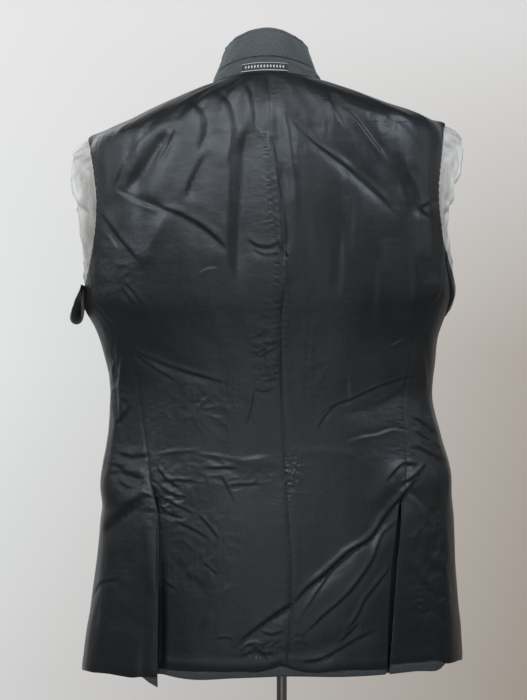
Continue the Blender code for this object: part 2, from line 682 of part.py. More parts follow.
def stand():
    """A round foot, a socket, the pole, and the flange that carries the form."""
    edge = 0.003
    top = FOOT_THICKNESS
    foot = [(FOOT_RADIUS - 0.001, 0), (FOOT_RADIUS, 0.001), (FOOT_RADIUS, top - edge)]
    foot += [(FOOT_RADIUS - 0.3 * edge, top - 0.3 * edge), (FOOT_RADIUS - edge, top)]
    turned("base_plate", foot, steel(), 56)
    bore = POLE_RADIUS + TOUCH
    low = top + TOUCH
    socket = [(bore, low), (0.020, low), (0.020, low + 0.012), (0.0115, low + 0.020)]
    socket += [(0.0115, low + 0.034), (bore, low + 0.034)]
    turned("base_socket", socket, steel(), 28, hollow=True)
    under = FORM_BOTTOM - TOUCH
    pole_top = under - 0.006
    turned("pole", [(POLE_RADIUS, low), (POLE_RADIUS, pole_top)], steel(), 20)
    ceiling = pole_top + TOUCH
    flange = [(bore, ceiling - 0.030), (0.012, ceiling - 0.030), (0.012, under - 0.012)]
    flange += [(0.045, under - 0.006), (0.045, under)]
    flange += [(0.002, under), (0.002, ceiling), (bore, ceiling)]
    turned("form_flange", flange, steel(), 28, hollow=True)
    plug = [(0.034, 1.4963), (0.034, 1.5010), (0.0315, 1.5035)]
    cap = turned("neck_cap", plug, material("beech_cap", (0.42, 0.27, 0.15), 0.55), 28)
    cap.location = (NECK_CENTRE, NECK_MIDDLE, 0)


def main():
    for leftover in list(bpy.data.objects):
        bpy.data.objects.remove(leftover)
    stand()
    form()
    for side, name in ((-1, "left"), (1, "right")):
        back_panels(side, name)
        side_panels(side, name)
        front_panels(side, name)
        sleeves(side, name)
    collar()
    label()
    shield_left()
    shield_right()
    buttons()


main()
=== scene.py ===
"""How the inside-out blazer and its dress form look.

Metres, +Z up, the jacket's back towards -Y. The body's shape and seams repeat those of the
part's own source, so every cloth here lies where its solid does, with finer and softer folds.
A place on the body is a turn, 0 at the centre back, plus or minus 90 degrees at the sides and
180 at the front, and a rise, which is the height up to the shoulders and then counts on over
them to the neck.
"""

import math

import bpy
import numpy as np
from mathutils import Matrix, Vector


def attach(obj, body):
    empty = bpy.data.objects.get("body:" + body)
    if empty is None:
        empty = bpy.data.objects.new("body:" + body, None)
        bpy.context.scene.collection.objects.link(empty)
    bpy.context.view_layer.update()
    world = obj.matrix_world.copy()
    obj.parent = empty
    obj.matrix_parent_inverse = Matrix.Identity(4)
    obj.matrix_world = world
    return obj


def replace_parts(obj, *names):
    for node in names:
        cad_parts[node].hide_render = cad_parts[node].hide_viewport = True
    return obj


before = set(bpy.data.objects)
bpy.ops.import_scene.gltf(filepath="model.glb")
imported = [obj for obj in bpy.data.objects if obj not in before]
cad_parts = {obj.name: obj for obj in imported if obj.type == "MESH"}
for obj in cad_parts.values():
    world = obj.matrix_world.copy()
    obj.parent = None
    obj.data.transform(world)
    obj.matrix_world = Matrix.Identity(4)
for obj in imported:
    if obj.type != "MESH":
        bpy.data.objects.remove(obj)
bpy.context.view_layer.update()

# Sizes of the jacket
HEM = 0.7335
LINING_EDGE = 0.7428
VENT_TOP = 0.945
SHOULDER = 1.405
OVER_SHOULDER = 0.16
NECK_RISE = SHOULDER + OVER_SHOULDER
NECK_CENTRE = -0.0187
NECK_HALF_WIDTH = 0.0675
NECK_BACK = 0.085
NECK_FRONT = 0.060
NECK_HEIGHTS = dict(back=1.4690, side=1.4640, front=1.4080)
SHOULDER_HOLLOW = 0.07
TILT_LOST = 0.6
CAP_START = math.radians(13)
ROUNDED = 0.055  # the rounding at the shoulders' ring reaches this far
GIRTH = 0.20  # cloth round the body for each radian of turn
VENT_GIRTH = 0.165  # the same near the vents
CAP_ARC = math.radians(62)

# Layers, as distances out from the body shape
SHELL_THICKNESS = 0.0015
LINING_OUT = 0.0014
LINING_THICKNESS = 0.0005
SEAM_HALF_GAP = 0.00003
VENT_LIFT = 0.0062
VENT_UNDERLAP = math.radians(4.2)
VENT_UNDERLAP_RIGHT = math.radians(1.6)
VENT_GAPE = 0.0032
PLEAT_LIFT = 0.0030
PLEAT_OVERLAP = 0.003
PLEAT_START, PLEAT_FULL = 1.175, 1.215
LINING_EDGE_RADIUS = 0.0006
HEM_RADIUS = 0.0022
SHELL_HIGHEST = 0.0006  # the shell follows the lining's creases in, but never further out
FLAP_TOP = 0.985  # from here down the left side panel lifts off the back

# How the hem hangs
HANG_TOP, HANG_FULL = 0.830, 0.745  # the wool's own hang fades in between these heights
LIP_TOP, LIP_FULL = 0.790, 0.745  # and so does the lining's
FLAP_EDGES = {"side_left": 39.0, "side_right": 59.0}  # degrees where a flap's bulge starts
BULGE_END = 122.0  # and where it ends

# Armholes and sleeves
ARM_MIDDLE = 1.310
ARM_HALF_HEIGHT = SHOULDER - ARM_MIDDLE
ARM_BACK = math.radians(25)
ARM_FRONT = math.radians(30)
ARM_SQUARENESS = 2.2
JUNCTION = 1.2535
SLEEVE_TOP = 1.190
SLEEVE_DEPTH = -0.0180

# Stand
FOOT_RADIUS = 0.165
FOOT_THICKNESS = 0.010
POLE_RADIUS = 0.0065
FORM_BOTTOM = 0.800
FORM_SQUARENESS = 2.3
NECK_MIDDLE = -0.012
NECK_OVAL = 0.95
TOUCH = 0.0003

# How fine the cloth's grids are
BACK_STEP = 0.00152
SIDE_STEP = 0.0018
FRONT_STEP = 0.0032
SHELL_STEP = 0.0050
OVER_ROWS = 26  # the shell's rows over the shoulder


class Table:
    """Rows of named columns. at() reads a column smoothly between the rows."""

    def __init__(self, names, *rows):
        self.columns = dict(zip(names.split(), np.array(rows, float).T))
        self.key = self.columns[names.split()[0]]

    def at(self, name, where):
        values = self.columns[name]
        slopes = np.gradient(values, self.key)
        where = np.clip(where, self.key[0], self.key[-1])
        row = np.clip(np.searchsorted(self.key, where) - 1, 0, len(self.key) - 2)
        step = self.key[row + 1] - self.key[row]
        t = (where - self.key[row]) / step
        start = values[row] * (1 + 2 * t) + slopes[row] * step * t
        end = values[row + 1] * (3 - 2 * t) - slopes[row + 1] * step * (1 - t)
        return start * (1 - t) ** 2 + end * t**2


BODY = Table(
    "height centre half_width back front squareness tilt",
    (0.700, -0.0140, 0.2365, 0.119, 0.126, 2.40, 0.026),
    (0.763, -0.0110, 0.2335, 0.120, 0.126, 2.40, 0.026),
    (0.814, -0.0085, 0.2295, 0.119, 0.124, 2.40, 0.026),
    (0.864, -0.0066, 0.2250, 0.116, 0.121, 2.40, 0.027),
    (0.915, -0.0050, 0.2212, 0.111, 0.118, 2.40, 0.028),
    (0.940, -0.0050, 0.2190, 0.108, 0.116, 2.40, 0.029),
    (0.966, -0.0068, 0.2205, 0.105, 0.115, 2.40, 0.029),
    (1.016, -0.0098, 0.2102, 0.101, 0.114, 2.35, 0.030),
    (1.067, -0.0140, 0.2022, 0.100, 0.115, 2.30, 0.031),
    (1.105, -0.0130, 0.2040, 0.102, 0.118, 2.30, 0.032),
    (1.143, -0.0152, 0.2112, 0.106, 0.122, 2.30, 0.033),
    (1.168, -0.0150, 0.2205, 0.110, 0.126, 2.35, 0.034),
    (1.190, -0.0165, 0.2305, 0.114, 0.128, 2.40, 0.035),
    (1.220, -0.0168, 0.2305, 0.118, 0.130, 2.40, 0.036),
    (1.269, -0.0182, 0.2280, 0.121, 0.130, 2.40, 0.038),
    (1.320, -0.0180, 0.2255, 0.121, 0.125, 2.40, 0.039),
    (1.370, -0.0183, 0.2250, 0.117, 0.115, 2.45, 0.041),
    (1.405, -0.0185, 0.2225, 0.112, 0.105, 2.50, 0.042),
)

# Seams and edges, as turns in degrees
SEAMS = Table(
    "height back_left back_right front facing edge",
    (0.700, 33.2, 34.6, 128.0, 161.0, 178.4),
    (0.850, 36.7, 37.9, 126.0, 160.5, 178.6),
    (0.945, 39.4, 41.6, 124.0, 160.0, 178.8),
    (1.067, 49.7, 51.0, 121.5, 158.0, 178.8),
    (1.150, 55.4, 56.0, 119.0, 156.0, 178.7),
    (1.2535, 69.0, 69.0, 115.2, 150.0, 178.2),
    (1.405, 69.0, 69.0, 115.2, 134.0, 176.5),
    (1.565, 69.0, 69.0, 115.2, 116.0, 166.0),
)
CENTRE_BACK = Table(
    "height x",
    (0.700, 0.004),
    (0.860, 0.011),
    (1.000, 0.003),
    (1.150, -0.001),
    (1.280, 0.000),
    (1.345, -0.008),
    (1.405, -0.019),
)
PUFF = Table(
    "height left right",
    (1.215, 0.002, 0.002),
    (1.240, 0.004, 0.004),
    (1.270, 0.011, 0.006),
    (1.310, 0.021, 0.016),
    (1.355, 0.026, 0.024),
    (1.388, 0.020, 0.021),
    (1.405, 0.012, 0.010),
)
FORM = Table(
    "height centre half_width back front",
    (0.800, 0.0000, 0.150, 0.084, 0.092),
    (0.870, -0.0010, 0.158, 0.091, 0.099),
    (0.960, -0.0030, 0.155, 0.084, 0.094),
    (1.060, -0.0070, 0.147, 0.078, 0.090),
    (1.160, -0.0110, 0.155, 0.086, 0.102),
    (1.260, -0.0145, 0.163, 0.096, 0.108),
    (1.330, -0.0165, 0.163, 0.099, 0.104),
    (1.370, -0.0178, 0.160, 0.098, 0.092),
)

# The back's folds, creases, crumples and puckers, in millimetres

# Broad folds: both ends in x and z, half width, and depth (minus is a ridge)
FOLDS = (
    (-36, 1405, -56, 1217, 14, 2.4),
    (18, 1412, 142, 1298, 12, 1.2),
    (-140, 1395, -187, 1325, 13, 2.2),
    (-200, 1327, -65, 1251, 14, 1.0),
    (-193, 1147, -91, 1092, 13, 0.7),
    (158, 1085, 60, 1050, 14, 0.8),
    (164, 958, 98, 884, 9, 0.8),
    (98, 884, -30, 793, 9, 0.9),
    (133, 913, 60, 812, 14, -0.8),
    (115, 791, -14, 752, 12, 1.2),
    (146, 990, 112, 942, 12, -1.8),
)
FOLDS_REACH = 0.045

# Creases: half width, depth (minus is a ridge), height of the crest beside it (to the left
# of the path, or with a minus to the right), and the path's points in x and z
CREASES = (
    # Upper back, left half
    (6.4, 3.0, -1.6, (-36, 1410), (-50, 1363), (-53, 1321), (-55, 1253), (-53, 1208)),
    (1.6, 0.7, -0.6, (-34, 1408), (-27, 1400), (-20, 1388)),
    (2.2, 1.3, 0.7, (-43, 1262), (-30, 1254), (-17, 1253), (-4, 1257)),
    (1.6, 0.7, 0.4, (-38, 1251), (-22, 1244), (-2, 1246)),
    (1.6, 0.6, 0.4, (-6, 1262), (-1, 1250), (8, 1240)),
    (4.5, 2.2, -0.8, (-138, 1398), (-163, 1362), (-188, 1325)),
    (1.8, 1.2, -0.7, (-127, 1400), (-140, 1375), (-151, 1355)),
    (2.0, 1.3, -0.4, (-204, 1328), (-178, 1314), (-146, 1301)),
    (2.4, 1.5, 1.1, (-152, 1304), (-117, 1289), (-96, 1276), (-75, 1258), (-67, 1250)),
    (4.2, 2.0, -0.9, (-89, 1371), (-102, 1346), (-117, 1311)),
    (11.0, -2.3, 0.0, (-130, 1306), (-152, 1270), (-173, 1231)),
    (2.2, 0.8, 0.5, (-225, 1300), (-205, 1271), (-174, 1236)),
    (1.6, 0.5, -0.5, (-215, 1276), (-206, 1264), (-200, 1255)),
    (7.0, 1.4, 0.0, (-199, 1321), (-202, 1268), (-207, 1225)),
    (1.8, 0.6, 0.5, (-198, 1206), (-188, 1194), (-178, 1182)),
    (1.5, 0.5, 0.5, (-192, 1212), (-181, 1199), (-171, 1184)),
    (1.4, 0.5, -0.5, (-103, 1224), (-92, 1230), (-77, 1232)),
    (5.5, 1.9, -0.8, (-112, 1437), (-94, 1418), (-90, 1398), (-97, 1372)),
    (4.5, 1.7, -0.8, (-84, 1452), (-64, 1432), (-56, 1408), (-56, 1380), (-62, 1352)),
    (3.6, 1.2, -0.7, (-44, 1460), (-36, 1440), (-32, 1418), (-30, 1396)),
    (5.0, 0.8, 0.5, (-150, 1416), (-178, 1385), (-205, 1352)),
    (2.2, 0.7, -0.5, (-186, 1372), (-196, 1350), (-203, 1330)),
    # The pleat's edge
    (2.3, 2.8, -1.2, (-18, 1397), (-7, 1363), (-2.5, 1328), (0, 1296), (2, 1267), (1, 1236)),
    # Upper back, right half
    (1.7, -1.1, 0.0, (11, 1413), (28, 1392), (57, 1368), (80, 1351), (112, 1323), (142, 1296)),
    (1.8, 1.7, 0.6, (12, 1404), (44, 1376), (80, 1350), (112, 1323), (140, 1297)),
    (2.0, 1.5, -0.8, (78, 1426), (93, 1410), (108, 1390), (128, 1365)),
    (2.4, 1.3, -0.8, (58, 1440), (68, 1418), (78, 1399)),
    (8.5, 4.6, 1.2, (136, 1380), (144, 1340), (153, 1300), (153, 1250), (156, 1200), (158, 1155)),
    (2.0, 1.8, 1.0, (152, 1345), (163, 1318), (169, 1300), (178, 1292)),
    (1.8, 1.1, 0.6, (169, 1303), (179, 1309), (189, 1317)),
    (5.0, 0.9, 0.5, (128, 1418), (152, 1396), (172, 1366)),
    (7.0, -2.2, 0.0, (-6, 1436), (6, 1395), (12, 1340), (14, 1290)),
    (4.0, 0.9, 0.0, (22, 1425), (27, 1395), (25, 1368)),
    (3.0, 0.9, 0.4, (71, 1282), (70, 1250), (67, 1195)),
    (6.0, 1.6, 0.8, (120, 1270), (114, 1235), (108, 1155)),
    (5.0, 0.8, 0.4, (84, 1340), (82, 1290), (78, 1240)),
    (4.0, 0.8, -0.4, (170, 1250), (172, 1215), (168, 1180)),
    # Waist
    (12.0, -1.0, 0.0, (-12, 1236), (-12, 1150), (-9, 1050)),
    (
        1.7, 0.9, 0.6, (-196, 1146), (-181, 1128), (-156, 1116), (-124, 1104), (-103, 1098),
        (-68, 1088),
    ),
    (1.5, 0.7, 0.5, (-186, 1127), (-160, 1108), (-130, 1091)),
    (1.3, 0.5, -0.4, (-34, 1082), (-36, 1062), (-43, 1038)),
    (1.3, 0.3, 0.3, (-34, 1082), (-23, 1078), (-12, 1082)),
    (1.3, 0.5, -0.4, (-105, 1064), (-99, 1069), (-94, 1077)),
    (3.0, 1.0, -0.8, (-214, 1140), (-218, 1080), (-217, 1010)),
    (2.2, 0.8, 0.8, (-200, 1125), (-206, 1085), (-203, 1040)),
    (1.8, 0.6, -0.5, (-188, 1062), (-196, 1046), (-205, 1036)),
    (
        1.2, 0.7, -0.5, (174, 1097), (153, 1095), (132, 1089), (110, 1081), (82, 1068),
        (68, 1063), (53, 1056), (46, 1047),
    ),
    (1.2, 0.5, -0.4, (66, 1062), (54, 1050), (43, 1033)),
    (4.0, 0.6, -0.3, (158, 1085), (120, 1062), (75, 1050)),
    (1.5, 0.7, 0.5, (153, 1029), (139, 1034), (117, 1029), (96, 1025), (78, 1020)),
    (1.2, 0.4, -0.4, (132, 1136), (141, 1141), (149, 1146)),
    (3.5, -1.3, 0.0, (170, 1136), (176, 1110), (178, 1080)),
    (2.6, 1.2, 0.9, (160, 1046), (176, 1035), (192, 1022)),
    (2.4, 1.0, 0.8, (162, 1030), (180, 1017), (198, 1002)),
    (3.0, 1.3, 1.0, (160, 1011), (180, 1001), (204, 987)),
    (2.4, 0.4, 0.3, (78, 1097), (80, 1080), (82, 1061)),
    (1.3, 0.4, 0.4, (30, 1140), (32, 1128), (31, 1115)),
    # Below the waist
    (1.5, 0.9, 0.6, (-97, 985), (-75, 985), (-53, 985)),
    (2.4, -0.6, 0.0, (-104, 1003), (-76, 1000), (-53, 996), (-30, 998), (-3, 1001)),
    (1.4, 0.8, 0.6, (-65, 962), (-45, 965), (-26, 966)),
    (1.5, 0.9, 0.8, (-150, 967), (-128, 969), (-104, 969)),
    (2.2, -0.55, 0.0, (-158, 1001), (-130, 1006), (-98, 1007)),
    (5.0, -0.8, 0.0, (-52, 992), (-30, 994), (-4, 992)),
    (6.0, -0.7, 0.0, (12, 1004), (50, 1006), (92, 1001)),
    # Left vent and flap
    (1.6, 0.9, 0.7, (-154, 986), (-143, 972), (-127, 961)),
    (1.5, 0.9, 0.7, (-152, 964), (-137, 953), (-118, 948)),
    (1.4, 0.8, 0.7, (-149, 936), (-136, 928), (-120, 924)),
    (1.3, 0.7, 0.6, (-150, 950), (-132, 941), (-108, 930)),
    (1.4, 0.6, 0.5, (-132, 921), (-112, 912), (-90, 900)),
    (1.3, 0.5, 0.4, (-104, 930), (-90, 915), (-78, 900)),
    (1.6, 0.5, 0.4, (-76, 976), (-66, 958), (-59, 942)),
    (2.6, 0.8, 0.8, (-204, 1000), (-180, 996), (-160, 1000)),
    (3.4, 1.1, 1.0, (-210, 988), (-190, 975), (-168, 969)),
    (3.2, 0.8, 0.9, (-206, 968), (-184, 958), (-165, 966)),
    (4.4, 2.5, -1.2, (-154, 956), (-172, 944), (-193, 925), (-214, 906), (-222, 894)),
    (1.6, 0.9, -0.7, (-198, 847), (-218, 841), (-226, 834), (-231, 822)),
    (7.0, -1.9, 0.0, (-163, 940), (-159, 885), (-157, 830)),
    (8.0, 1.3, 0.0, (-183, 915), (-187, 870), (-181, 820)),
    # Right vent and the diagonals below it
    (2.0, 0.9, 0.9, (126, 968), (150, 988), (172, 986)),
    (1.6, 1.0, -0.8, (180, 990), (166, 976), (146, 963)),
    (
        2.1, 2.1, -1.9, (174, 980), (149, 951), (128, 928), (106, 898), (85, 886), (53, 858),
        (31, 840), (13, 821),
    ),
    (2.8, 1.8, -1.4, (14, 822), (-18, 800), (-54, 772)),
    (
        1.8, 1.3, -1.2, (143, 922), (123, 903), (112, 876), (95, 851), (77, 830), (48, 805),
        (31, 789),
    ),
    (1.3, 0.6, -0.5, (101, 898), (85, 882), (64, 864), (43, 836), (22, 804)),
    (1.6, 1.0, -1.0, (135, 868), (121, 850), (103, 828), (89, 803), (77, 789)),
    (1.8, 1.3, -1.2, (114, 789), (96, 782), (75, 771), (50, 759), (25, 754), (-4, 750)),
    (1.4, 0.6, -0.5, (94, 800), (82, 788), (70, 777)),
    (1.2, 0.5, -0.4, (14, 782), (22, 782), (30, 780)),
    (1.6, 0.8, 0.6, (160, 814), (172, 807), (186, 814)),
    (2.2, 0.9, -0.6, (186, 812), (192, 802), (198, 789)),
    (2.4, 1.1, -0.7, (156, 957), (174, 938), (187, 914)),
    (5.0, 1.2, 0.6, (166, 905), (176, 872), (196, 852)),
    (4.0, 1.0, 0.6, (158, 868), (170, 842), (190, 826)),
    (6.0, -1.2, 0.0, (196, 940), (204, 880), (200, 800)),
    # Hem
    (2.2, -1.0, 0.0, (-52, 768), (-36, 776), (-18, 772)),
    (1.5, 0.8, 0.8, (-50, 758), (-34, 764), (-12, 758)),
    (1.6, 0.6, 0.6, (-30, 790), (-14, 784), (4, 790)),
    (1.2, 0.4, 0.4, (-79, 780), (-70, 781), (-61, 780)),
    (6.0, 0.7, 0.4, (-136, 880), (-112, 850), (-84, 836)),
    (5.0, -0.9, 0.0, (-58, 850), (-78, 828), (-97, 793)),
    (1.2, 0.4, 0.4, (-100, 875), (-90, 866), (-79, 857)),
    (1.2, 0.4, 0.3, (-147, 850), (-138, 843), (-129, 839)),
)

# Patches of fine crumples: middle, reach both ways, depth, size of one, and how stretched
CRUMPLES = (
    (-145, 950, 42, 40, 1.2, 12, 1.0, 1.5),
    (-190, 985, 45, 30, 1.4, 20, 1.0, 1.4),
    (150, 972, 30, 26, 1.0, 14, 1.0, 1.0),
    (14, 980, 14, 34, 1.3, 5.5, 1.0, 1.3),
    (-26, 766, 34, 18, 1.9, 11, 0.9, 1.2),
    (-20, 1120, 20, 52, 1.2, 9, 0.7, 1.5),
    (-206, 1090, 18, 75, 1.5, 12, 1.8, 0.6),
    (-70, 982, 90, 24, 1.0, 12, 0.7, 1.6),
    (-80, 1060, 70, 40, 0.9, 15, 1.0, 1.0),
    (60, 1090, 90, 60, 0.6, 18, 0.7, 1.0),
    (60, 940, 70, 60, 0.5, 16, 0.7, 1.0),
    (-85, 880, 75, 75, 0.6, 13, 0.9, 0.9),
    (180, 1020, 22, 50, 0.9, 11, 0.8, 1.6),
    (-205, 1230, 30, 60, 0.7, 16, 1.2, 1.0),
    (196, 1225, 30, 60, 0.6, 14, 1.6, 0.9),
    (-100, 1405, 90, 45, 0.7, 22, 1.8, 0.8),
    (80, 1405, 90, 45, 0.6, 22, 1.8, 0.8),
    (180, 850, 36, 95, 1.9, 15, 1.2, 0.9),
)

# Rows of puckers along stitching: both ends, spacing, reach to each side, and depth
PUCKERS = (
    (-22, 1392, -11, 1262, 9, 4.5, 0.8),
    (-15, 1300, -10, 1255, 6, 6, 0.6),
    (-7, 1236, -7, 1090, 8, 6.5, 0.8),
    (5, 905, 12, 765, 9, 6, 0.7),
    (6, 1000, 8, 930, 5, 10, 0.8),
    (146, 1060, 150, 980, 9, 10, 0.8),
)


def ease(value):
    """From 0 to 1, level at both ends."""
    value = np.clip(value, 0, 1)
    return value * value * (3 - 2 * value)


def bell(value):
    """1 at 0, and soft to nothing a little past 1 and -1."""
    return np.exp(-(value**2))


def rounded(value, least):
    """The profile of a rounded edge, from least at 0 up to 1 at 1."""
    return np.sqrt(np.clip(1 - (1 - np.clip(value, 0, 1)) ** 2, least, 1))


def pairs(across, up):
    """Two coordinates for each point of a grid."""
    return np.stack(np.broadcast_arrays(across, up), axis=-1)


def steps_between(points, axis):
    """Distances between neighbours in a grid of points."""
    return np.linalg.norm(np.diff(points, axis=axis), axis=-1)


def by_line(x, z, x0, z0, x1, z1):
    """Where places lie by a line: along it times its length, beside it, and its length."""
    length = math.hypot(x1 - x0, z1 - z0)
    along = (x - x0) * (x1 - x0) + (z - z0) * (z1 - z0)
    return along, ((x - x0) * (z1 - z0) - (z - z0) * (x1 - x0)) / length, length


def squared_off(across, along, power):
    """How much further out than a circle an oval lies, the more the higher the power."""
    return (np.abs(across) ** power + np.abs(along) ** power) ** (-1 / power)


def by_heading(turn, back, side, front):
    """A value that goes from back to side to front round a ring."""
    ahead = np.cos(turn)
    return side + (np.where(ahead > 0, back, front) - side) * ahead**2


def plain_body(turn, rise):
    """Points of the body that the jacket wraps, with a corner left at the shoulders' ring."""
    turn, rise = np.broadcast_arrays(np.asarray(turn, float), np.asarray(rise, float))
    level = np.minimum(rise, SHOULDER)
    over = np.clip((rise - SHOULDER) / OVER_SHOULDER, 0, 1)
    side, back = np.sin(turn), np.cos(turn)
    power = BODY.at("squareness", level)
    size = squared_off(side, back, power)
    depth = np.where(back > 0, BODY.at("back", level), BODY.at("front", level))
    x = BODY.at("half_width", level) * side * size
    y = -depth * back * size
    straight = np.abs(side) ** 3
    arc = CAP_START + over * (CAP_ARC - CAP_START)
    bend_in = (math.cos(CAP_START) - np.cos(arc)) / (math.cos(CAP_START) - math.cos(CAP_ARC))
    bend_up = (np.sin(arc) - math.sin(CAP_START)) / (math.sin(CAP_ARC) - math.sin(CAP_START))
    inward = bend_in + (over - bend_in) * straight
    upward = bend_up + (over - bend_up) * straight
    upward -= SHOULDER_HOLLOW * np.sin(math.pi * over) * straight
    neck_depth = np.where(back > 0, NECK_BACK, NECK_FRONT)
    x += (NECK_HALF_WIDTH * side - x) * inward
    y += (-neck_depth * back - y) * inward
    tilted = BODY.at("tilt", level) * x * (1 - TILT_LOST * over)
    z = level + (by_heading(turn, **NECK_HEIGHTS) - SHOULDER) * upward + tilted
    return np.stack([x + BODY.at("centre", level), y, z], axis=-1)


def body_shape(turn, rise):
    """Points of the body, folds left out, its corner at the shoulders' ring rounded off."""
    turn, rise = np.broadcast_arrays(np.asarray(turn, float), np.asarray(rise, float))
    points = plain_body(turn, rise)
    near = np.abs(rise - SHOULDER) < ROUNDED
    if near.any():
        at_turn, at_rise = turn[near], rise[near]
        from_side = np.abs(np.abs(at_turn) - math.pi / 2)
        reach = 0.024 * ease((from_side - math.radians(5)) / math.radians(12))
        reach *= ease(1.5 * (1 - np.abs(at_rise - SHOULDER) / ROUNDED))
        places = np.linspace(-1, 1, 9)
        weights = 1 - 0.8 * places**2
        beside = [plain_body(at_turn, at_rise + place * reach) for place in places]
        points[near] = np.tensordot(weights / weights.sum(), beside, axes=1)
    return points


def outward(turn, rise, step=1e-4):
    """The direction straight out of the body."""
    across = body_shape(turn + step, rise) - body_shape(turn - step, rise)
    up = body_shape(turn, rise + step) - body_shape(turn, rise - step)
    normal = np.cross(across, up)
    return normal / np.linalg.norm(normal, axis=-1, keepdims=True)


def off_body(turn, rise, out):
    """Points that lie out from the body by this much."""
    turn, rise, out = np.broadcast_arrays(turn, rise, out)
    return body_shape(turn, rise) + outward(turn, rise) * out[..., None]


def fold_depth(points, turn):
    """How far the back's broad folds lie in from the body."""
    x, z = points[..., 0], points[..., 2]
    total = np.zeros(x.shape)
    for *line, wide, deep in np.array(FOLDS) / 1000:
        along, aside, length = by_line(x, z, *line)
        share = along / length**2
        fade = ease((share + 0.1) / 0.3) * ease((1.1 - share) / 0.3)
        total += deep * fade * bell(aside / wide)
    from_side = (math.pi / 2 - np.abs(turn)) * BODY.at("back", ARM_MIDDLE)
    return total * ease(from_side / FOLDS_REACH)


class Noise:
    """Smooth random values between -1 and 1 over a plane, the same on each run."""

    def __init__(self, seed, size=64):
        self.size = size
        self.values = np.random.RandomState(seed).uniform(-1, 1, (size, size))

    def at(self, u, v):
        column, row = np.floor(u).astype(int), np.floor(v).astype(int)
        s, t = ease(u - column), ease(v - row)

        def corner(right, up):
            return self.values[(row + up) % self.size, (column + right) % self.size]

        low = corner(0, 0) * (1 - s) + corner(1, 0) * s
        high = corner(0, 1) * (1 - s) + corner(1, 1) * s
        return low * (1 - t) + high * t

    def creased(self, u, v):
        """Lines of sharp ridges between soft hollows, from -1 to 1."""
        bent = self.at(u * 0.5 + 7.3, v * 0.5 + 2.1)
        coarse = 1 - 2 * np.abs(self.at(u + 0.8 * bent, v - 0.8 * bent))
        fine = 1 - 2 * np.abs(self.at(u * 2.1 + 31.7, v * 2.1 + 11.9))
        return 0.7 * coarse + 0.3 * fine


RELIEF_GAIN = 1.15  # how much deeper creases, crumples and puckers are than their tables say
RELIEF_END = 96  # degrees of turn where they have run out
DRAGS_START = 70  # degrees of turn where the slanted drags of the sides come in
BROAD = Noise(3)
CREASED = Noise(11)
WOBBLE = Noise(23)


def crease(x, z, wide, deep, crest, path):
    """How far a crease pushes the cloth out: sharp towards its crest, and soft behind it."""
    chord = path[-1] - path[0]
    length = np.hypot(*chord)
    chord /= length
    stops = (path - path[0]) @ chord / length
    bows = (path[:, 1] - path[0, 1]) * chord[0] - (path[:, 0] - path[0, 0]) * chord[1]
    share = ((x - path[0, 0]) * chord[0] + (z - path[0, 1]) * chord[1]) / length
    aside = (z - path[0, 1]) * chord[0] - (x - path[0, 0]) * chord[1]
    aside -= Table("stop bow", *zip(stops, bows)).at("bow", share)
    along = share * length
    aside += 0.0003 * WOBBLE.at(along / 0.017 + 50 * path[0, 0], path[0, 1] * 90)
    aside *= math.copysign(1, crest)
    fade = ease((share + 0.06) / 0.30) * ease((1.06 - share) / 0.30)
    fade *= 0.8 + 0.35 * WOBBLE.at(along / 0.026 + 9 * path[0, 1], path[0, 0] * 70)
    if deep < 0:
        return -deep * fade * bell(aside / wide)
    trough = np.exp(-(np.abs(aside / np.where(aside > 0, wide, 3.2 * wide)) ** 1.6))
    beside = aside - 1.8 * wide
    top = bell(beside / np.where(beside > 0, 2.4 * wide, wide))
    return fade * (abs(crest) * top - deep * trough)


def crumple(x, z, middle_x, middle_z, rx, rz, deep, size, stretch_x, stretch_z):
    """A patch of fine crumples that fades out round its middle."""
    fade = ease(1.3 - np.hypot((x - middle_x) / rx, (z - middle_z) / rz))
    return deep * fade * CREASED.creased(x / size * stretch_x, z / size * stretch_z) * 0.5


def pucker(x, z, line, spacing, reach, deep):
    """Dimples in a row, one at each stitch, uneven in size."""
    along, aside, length = by_line(x, z, *line)
    along = along / length
    wander = 0.30 * WOBBLE.at(along / spacing * 0.45, np.full(x.shape, 4.0))
    uneven = 0.7 + 0.6 * WOBBLE.at(along / spacing * 0.8, np.full(x.shape, 9.0))
    wave = 0.5 + 0.5 * np.cos(2 * math.pi * (along / spacing + wander + aside / spacing * 0.2))
    inside = ease(along / 0.008 + 0.5) * ease((length - along) / 0.008 + 0.5)
    uneven *= 1 + 0.9 * WOBBLE.at(along / spacing * 1.7, aside / reach + 3.0)
    dimple = wave**4 * bell(aside / (0.75 * reach))
    pulled = wave * bell(aside / (1.7 * reach))
    return deep * inside * uneven * (0.5 * pulled - 1.1 * dimple)


